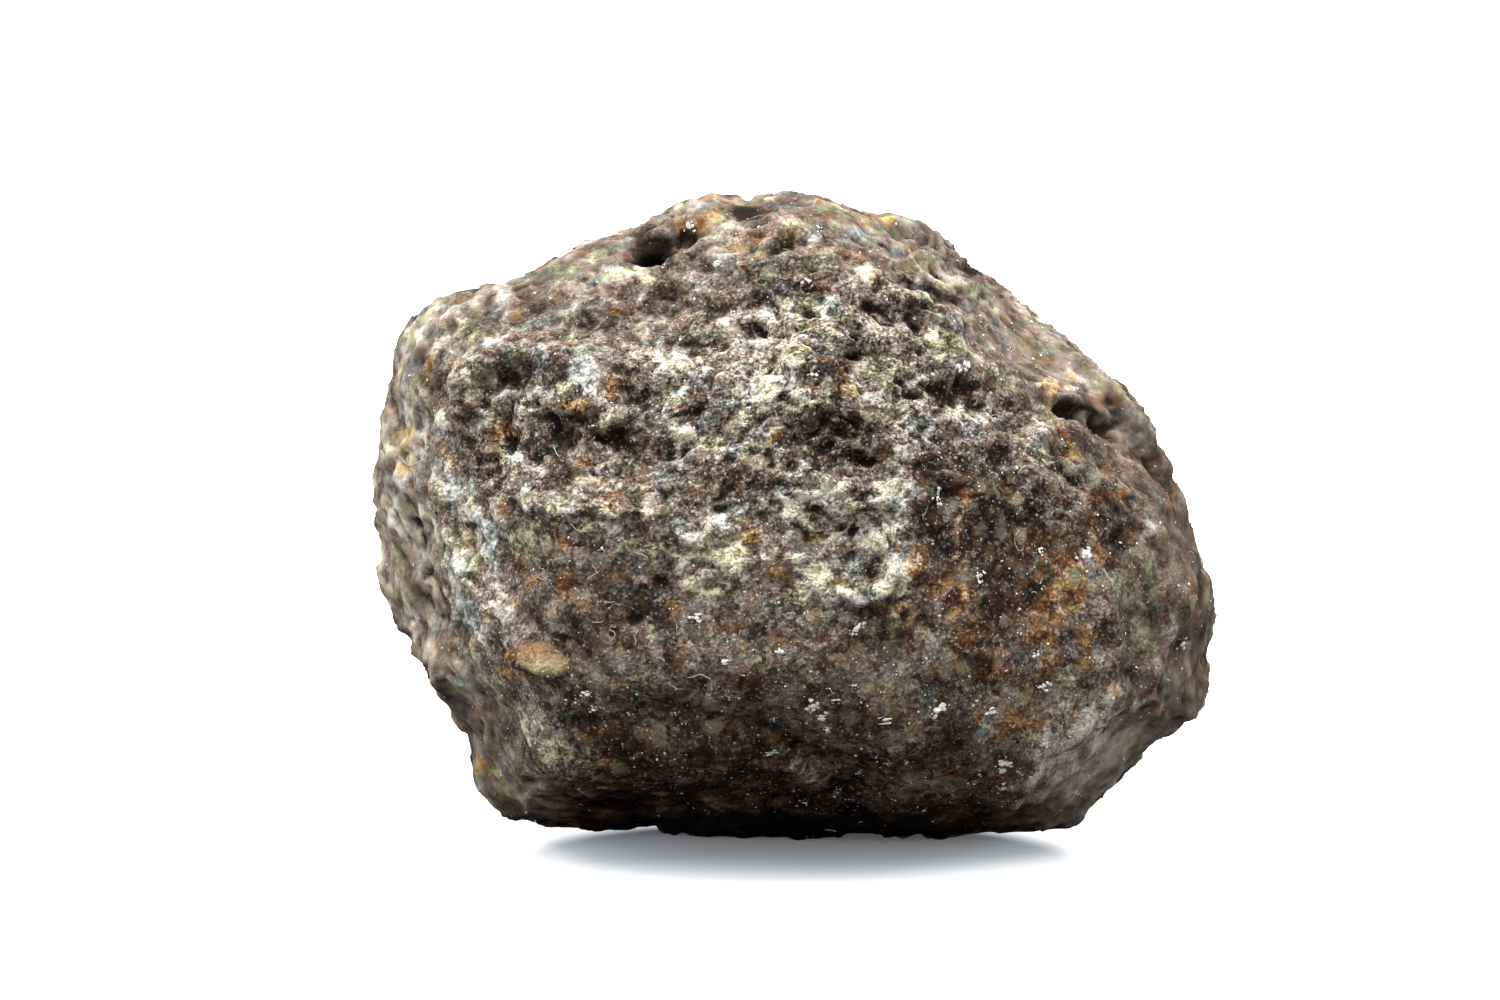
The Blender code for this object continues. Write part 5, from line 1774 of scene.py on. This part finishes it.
@dataclass
class Specks:
    """Fine white dust over the whole stone, thickest on the smooth low front.

    Attributes:
        surface: What it lies on.
        kinds: How hollow, rough and so on the stone is at each point.
        front_count, far_count: Specks that the viewpoint sees, and other specks.
        shape: A speck's length, width and height against its size.
        jitter: How uneven its corners are.
        seed: Which random specks they are.
    """

    surface: Surface
    kinds: dict[str, Array]
    front_count: int = 1100
    far_count: int = 900
    shape: tuple[float, ...] = (1.7, 1.1, 0.8)
    jitter: float = 0.16
    seed: int = 81

    def skin(self) -> Skin:
        """All specks as one surface.

        Formula: each speck is a cube's eight corners, jittered and flattened, at a
        random point of the surface, in the frame of the surface there.
        """
        rng = np.random.default_rng(self.seed)
        points = self.surface.skin.points
        facing = self.surface.view.facing(points, self.surface.outward)
        open_ground = 1.0 - 0.8 * self.kinds["hollow"]
        low_front = (1.0 - self.kinds["rough"]) ** 2 * ramp(facing, 0.1, 0.5)
        front = (0.25 + 1.3 * low_front) * ramp(facing, 0.0, 0.3) * open_ground
        far = ramp(facing, 0.1, -0.1) * open_ground * ramp(self.surface.outward[:, 2], -0.6, 0.3)
        seen = rng.choice(len(points), self.front_count, p=front / front.sum())
        unseen = rng.choice(len(points), self.far_count, p=far / far.sum())
        numbers = np.concatenate([seen, unseen])
        count = len(numbers)
        across, along, outward = self.surface.frames(numbers)
        turn = rng.random(count)[:, None] * 2 * math.pi
        first = np.cos(turn) * across + np.sin(turn) * along
        second = np.cross(outward, first)
        size = 0.016 + 0.028 * rng.random(count) ** 3
        corners = np.array(list(np.ndindex(2, 2, 2))) - 0.5
        shape = corners[None] + rng.normal(scale=self.jitter, size=(count, 8, 3))
        shape *= np.array(self.shape) * size[:, None, None] * 1.6
        spot = points[numbers] + 0.3 * size[:, None] * outward
        placed = (
            spot[:, None]
            + shape[..., 0:1] * first[:, None]
            + shape[..., 1:2] * second[:, None]
            + shape[..., 2:3] * outward[:, None]
        )
        sides = np.array(
            [[0, 1, 3, 2], [4, 6, 7, 5], [0, 4, 5, 1], [2, 3, 7, 6], [0, 2, 6, 4], [1, 5, 7, 3]]
        )
        quads = sides[None] + (np.arange(count) * 8)[:, None, None]
        return Skin(placed.reshape(-1, 3), quads.reshape(-1, 4))

    def dress(self, dust: Material) -> None:
        """Put the specks in the scene."""
        mesh = self.skin().mesh("dust_specks", self.surface.view.middle_height)
        add_piece(mesh, dust)


@dataclass
class Lint:
    """Lint fibres that cling to the stone.

    Attributes:
        surface: What they cling to.
        radius, sides: A fibre's radius, and how many flat sides it has.
        lift: How high the fibres seen in the photo lie over the stone.
        stray_count: How many short stray fibres there are.
        stray_middle, stray_spread: Where most of them lie, and how far they spread.
        seed: Which random fibres they are.
    """

    surface: Surface
    radius: float = 0.018
    sides: int = 6
    lift: float = 0.07
    stray_count: int = 150
    stray_middle: Place = (-9.5, -2.0)
    stray_spread: Place = (4.0, 3.2)
    seed: int = 91

    def tube(self, path: Array) -> Skin:
        """A fibre along a path, closed at both ends by a shrunken ring.

        Formula: at each path point a ring of the radius, across the path's direction;
        the first and last rings shrink to a hundredth.

        Args:
            path: Points of the path.

        Returns:
            The fibre's surface.
        """
        run = np.gradient(path, axis=0)
        run /= np.linalg.norm(run, axis=1, keepdims=True)
        helper = np.where(np.abs(run[:, 2:3]) < 0.9, [[0.0, 0.0, 1.0]], [[1.0, 0.0, 0.0]])
        first = np.cross(run, helper)
        first /= np.linalg.norm(first, axis=1, keepdims=True)
        second = np.cross(run, first)
        radii = np.full(len(path), self.radius)
        radii[[0, -1]] *= 0.01
        turn = np.arange(self.sides) / self.sides * 2 * math.pi
        cosine, sine = np.cos(turn)[None, :, None], np.sin(turn)[None, :, None]
        ring = cosine * first[:, None] + sine * second[:, None]
        points = path[:, None] + radii[:, None, None] * ring
        row = np.arange(len(path) - 1)[:, None] * self.sides
        here = np.arange(self.sides)[None]
        beside = (here + 1) % self.sides
        above = row + self.sides
        quads = np.stack([row + here, row + beside, above + beside, above + here], axis=-1)
        return Skin(points.reshape(-1, 3), quads.reshape(-1, 4))

    def placed_paths(self) -> list[Array]:
        """Paths of the fibres that the photo shows, laid just over the surface."""
        paths = []
        for places in FIBRES:
            flat = smooth_line(np.array(places), 5)
            numbers = self.surface.under(flat)
            points = self.surface.skin.points[numbers] + self.lift * self.surface.outward[numbers]
            paths.append(self.evened(points))
        return paths

    def stray_paths(self) -> list[Array]:
        """Paths of short stray fibres at random places.

        Formula: an arc of a random length, bend and turn in the frame of the surface.
        """
        rng = np.random.default_rng(self.seed)
        facing = self.surface.view.facing(self.surface.skin.points, self.surface.outward)
        flat = self.surface.view.seen(self.surface.skin.points / self.surface.scale)
        apart = (flat - np.array(self.stray_middle)) / np.array(self.stray_spread)
        chance = ramp(facing, 0.0, 0.3) * (0.12 + np.exp(-(apart**2).sum(axis=1))) + 0.08
        numbers = rng.choice(len(flat), self.stray_count, p=chance / chance.sum())
        across, along, outward = self.surface.frames(numbers)
        paths = []
        for spot in range(self.stray_count):
            length = 0.2 + 0.55 * rng.random() ** 2
            bend = rng.normal(scale=1.3)
            turn = 6.3 * rng.random()
            share = np.linspace(-0.5, 0.5, 6)
            angle = turn + bend * share
            run = np.cumsum(np.stack([np.cos(angle), np.sin(angle)], axis=1), axis=0) * length / 6
            point = self.surface.skin.points[numbers[spot]]
            rise = self.radius + 0.2 * length * share**2
            paths.append(
                point + np.outer(run[:, 0], across[spot]) + np.outer(run[:, 1], along[spot])
                + np.outer(rise, outward[spot])
            )
        return paths

    def evened(self, path: Array) -> Array:
        """A path evened by neighbours' means, its ends kept."""
        for _ in range(3):
            inner = (path[:-2] + 2 * path[1:-1] + path[2:]) / 4
            path = np.concatenate([path[:1], inner, path[-1:]])
        return path

    def skin(self) -> Skin:
        """All fibres as one surface."""
        tubes = [self.tube(path) for path in self.placed_paths() + self.stray_paths()]
        starts = np.cumsum([0] + [len(tube.points) for tube in tubes[:-1]])
        quads = [tube.quads + start for tube, start in zip(tubes, starts)]
        return Skin(np.concatenate([tube.points for tube in tubes]), np.concatenate(quads))

    def dress(self) -> None:
        """Put the fibres in the scene."""
        mesh = self.skin().mesh("lint_fibres", self.surface.view.middle_height)
        add_piece(mesh, LintFinish().material())


@dataclass
class Studio:
    """The white floor, the soft light and the camera.

    Attributes:
        view: The front viewpoint.
        scale: The stone's own scale about its middle.
        floor_size: The floor's side, in metres.
        shadow_back, shadow_width, shadow_depth: How far back the middle of the ellipse
        that bounds the painted shadow lies, and half its width and depth, in millimetres.
        lamp_place, lamp_size, lamp_power: In metres and watts.
        lens, film: The camera's focal length and picture width, in millimetres.
    """

    view: View
    scale: float
    floor_size: float = 6.0
    shadow_back: float = -9.5
    shadow_width: float = 13.4
    shadow_depth: float = 8.4
    lamp_place: tuple[float, ...] = (-0.03, -0.04, 0.5)
    lamp_size: tuple[float, float] = (0.55, 0.4)
    lamp_power: float = 4.4
    lens: float = 100.0
    film: float = 36.0

    def floor_material(self) -> Material:
        """Burnt-out white but for the shadow under the front edge.

        The camera sees a diffuse white that glows outside an ellipse round the shadow,
        so the real shadow shows only inside it and its outline is a painted shadow.
        Other rays meet a dark floor under the stone and a glow further out.
        """
        material, nodes = new_material("floor")
        right, back, _ = nodes.parts(nodes.place())
        across, along = right / self.shadow_width, (back - self.shadow_back) / self.shadow_depth
        away = (across * across + along * along) ** 0.5
        seen = nodes.add("ShaderNodeLightPath", output="Is Camera Ray")
        white = nodes.add("ShaderNodeBsdfDiffuse", {"Color": (0.9, 0.95, 1.0)})
        # Glow outside the ellipse washes out the real shadow: the shadow's outline is painted
        shine = 0.06 + 1.2 * away.ramp(0.84, 1.08)
        glow = nodes.add("ShaderNodeEmission", {"Color": (0.95, 1.0, 1.06), "Strength": shine})
        lit = nodes.add("ShaderNodeAddShader", {0: white, 1: glow})
        shade_black = nodes.add("ShaderNodeBsdfDiffuse", {"Color": (0.02, 0.02, 0.02)})
        shine = 0.32 * away.ramp(1.1, 2.2)
        bounce = nodes.add("ShaderNodeEmission", {"Color": (1.0, 0.99, 0.97), "Strength": shine})
        dim = nodes.add("ShaderNodeAddShader", {0: shade_black, 1: bounce})
        surface = nodes.add("ShaderNodeMixShader", {0: seen, 1: dim, 2: lit})
        nodes.add("ShaderNodeOutputMaterial", {"Surface": surface})
        return material

    def add_floor(self) -> None:
        """A level white floor at the stone's foot."""
        half = self.floor_size / 2
        mesh = bpy.data.meshes.new("floor")
        corners = [(-half, -half, 0.0), (half, -half, 0.0), (half, half, 0.0), (-half, half, 0.0)]
        mesh.from_pydata(corners, [], [(0, 1, 2, 3)])
        mesh.materials.append(self.floor_material())
        floor = bpy.data.objects.new("floor", mesh)
        bpy.context.scene.collection.objects.link(floor)

    def add_lamp(self) -> None:
        """A soft rectangular lamp overhead that faces the stone."""
        lamp = bpy.data.lights.new("top_light", "AREA")
        lamp.shape = "RECTANGLE"
        lamp.size, lamp.size_y = self.lamp_size
        lamp.energy = self.lamp_power
        light = bpy.data.objects.new("top_light", lamp)
        light.location = self.lamp_place
        aim = Vector((0.0, 0.0, self.view.middle_height * MM)) - Vector(self.lamp_place)
        light.rotation_euler = aim.to_track_quat("-Z", "Y").to_euler()
        bpy.context.scene.collection.objects.link(light)

    def add_surroundings(self) -> None:
        """White to the camera; as light, brightest behind and beside, dim in front."""
        world = bpy.data.worlds.new("studio")
        bpy.context.scene.world = world
        world.use_nodes = True
        nodes = Nodes(world.node_tree)
        toward = nodes.add("ShaderNodeTexCoord", output="Generated")
        across, depth, height = nodes.parts(toward)
        behind = depth.ramp(-0.4, 0.9)
        beside = (across * across).ramp(0.1, 0.9)
        over = height.ramp(-0.05, 0.9)
        left = across.ramp(-0.2, -0.9)
        glow = 0.42 + 0.6 * behind + 1.0 * beside + 0.9 * left + 0.2 * over
        glow = glow * height.ramp(-0.12, 0.1)
        seen = nodes.add("ShaderNodeLightPath", output="Is Camera Ray")
        strength = glow + seen * (1.1 - glow)
        sockets = {"Color": (1.0, 0.995, 0.985), "Strength": strength}
        light = nodes.add("ShaderNodeBackground", sockets)
        nodes.add("ShaderNodeOutputWorld", {"Surface": light})

    def add_camera(self) -> None:
        """The camera at the front viewpoint."""
        data = bpy.data.cameras.new("camera")
        data.lens = self.lens
        data.sensor_width = self.film
        data.clip_start = 0.01
        data.dof.use_dof = False
        camera = bpy.data.objects.new("camera", data)
        middle = np.array([0.0, 0.0, self.view.middle_height])
        camera.location = ((middle + self.scale * self.view.eye) * MM).tolist()
        camera.rotation_euler = (math.pi / 2 - self.view.fall, 0.0, 0.0)
        bpy.context.scene.collection.objects.link(camera)
        bpy.context.scene.camera = camera

    def build(self) -> None:
        """Set up floor, lamp, surroundings and camera."""
        self.add_floor()
        self.add_lamp()
        self.add_surroundings()
        self.add_camera()
        bpy.context.scene.view_settings.view_transform = "Standard"


def main() -> None:
    """Build the stone, the dirt on it and the studio."""
    logging.basicConfig(level=logging.INFO, format="%(name)s: %(message)s")
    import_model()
    low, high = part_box(NODE)
    view = View()

    stone = Stone(view, width=(high.x - low.x) / MM)
    skin = stone.build()
    kinds = stone.paint(skin)
    stone.dress(skin, kinds)

    surface = Surface(skin, view, stone.scale)
    dust = GrainFinish().material()
    Grains(surface).dress(dust)
    Specks(surface, kinds).dress(dust)
    Lint(surface).dress()
    Studio(view, stone.scale).build()
    bpy.context.view_layer.update()


if __name__ == "__main__":
    main()
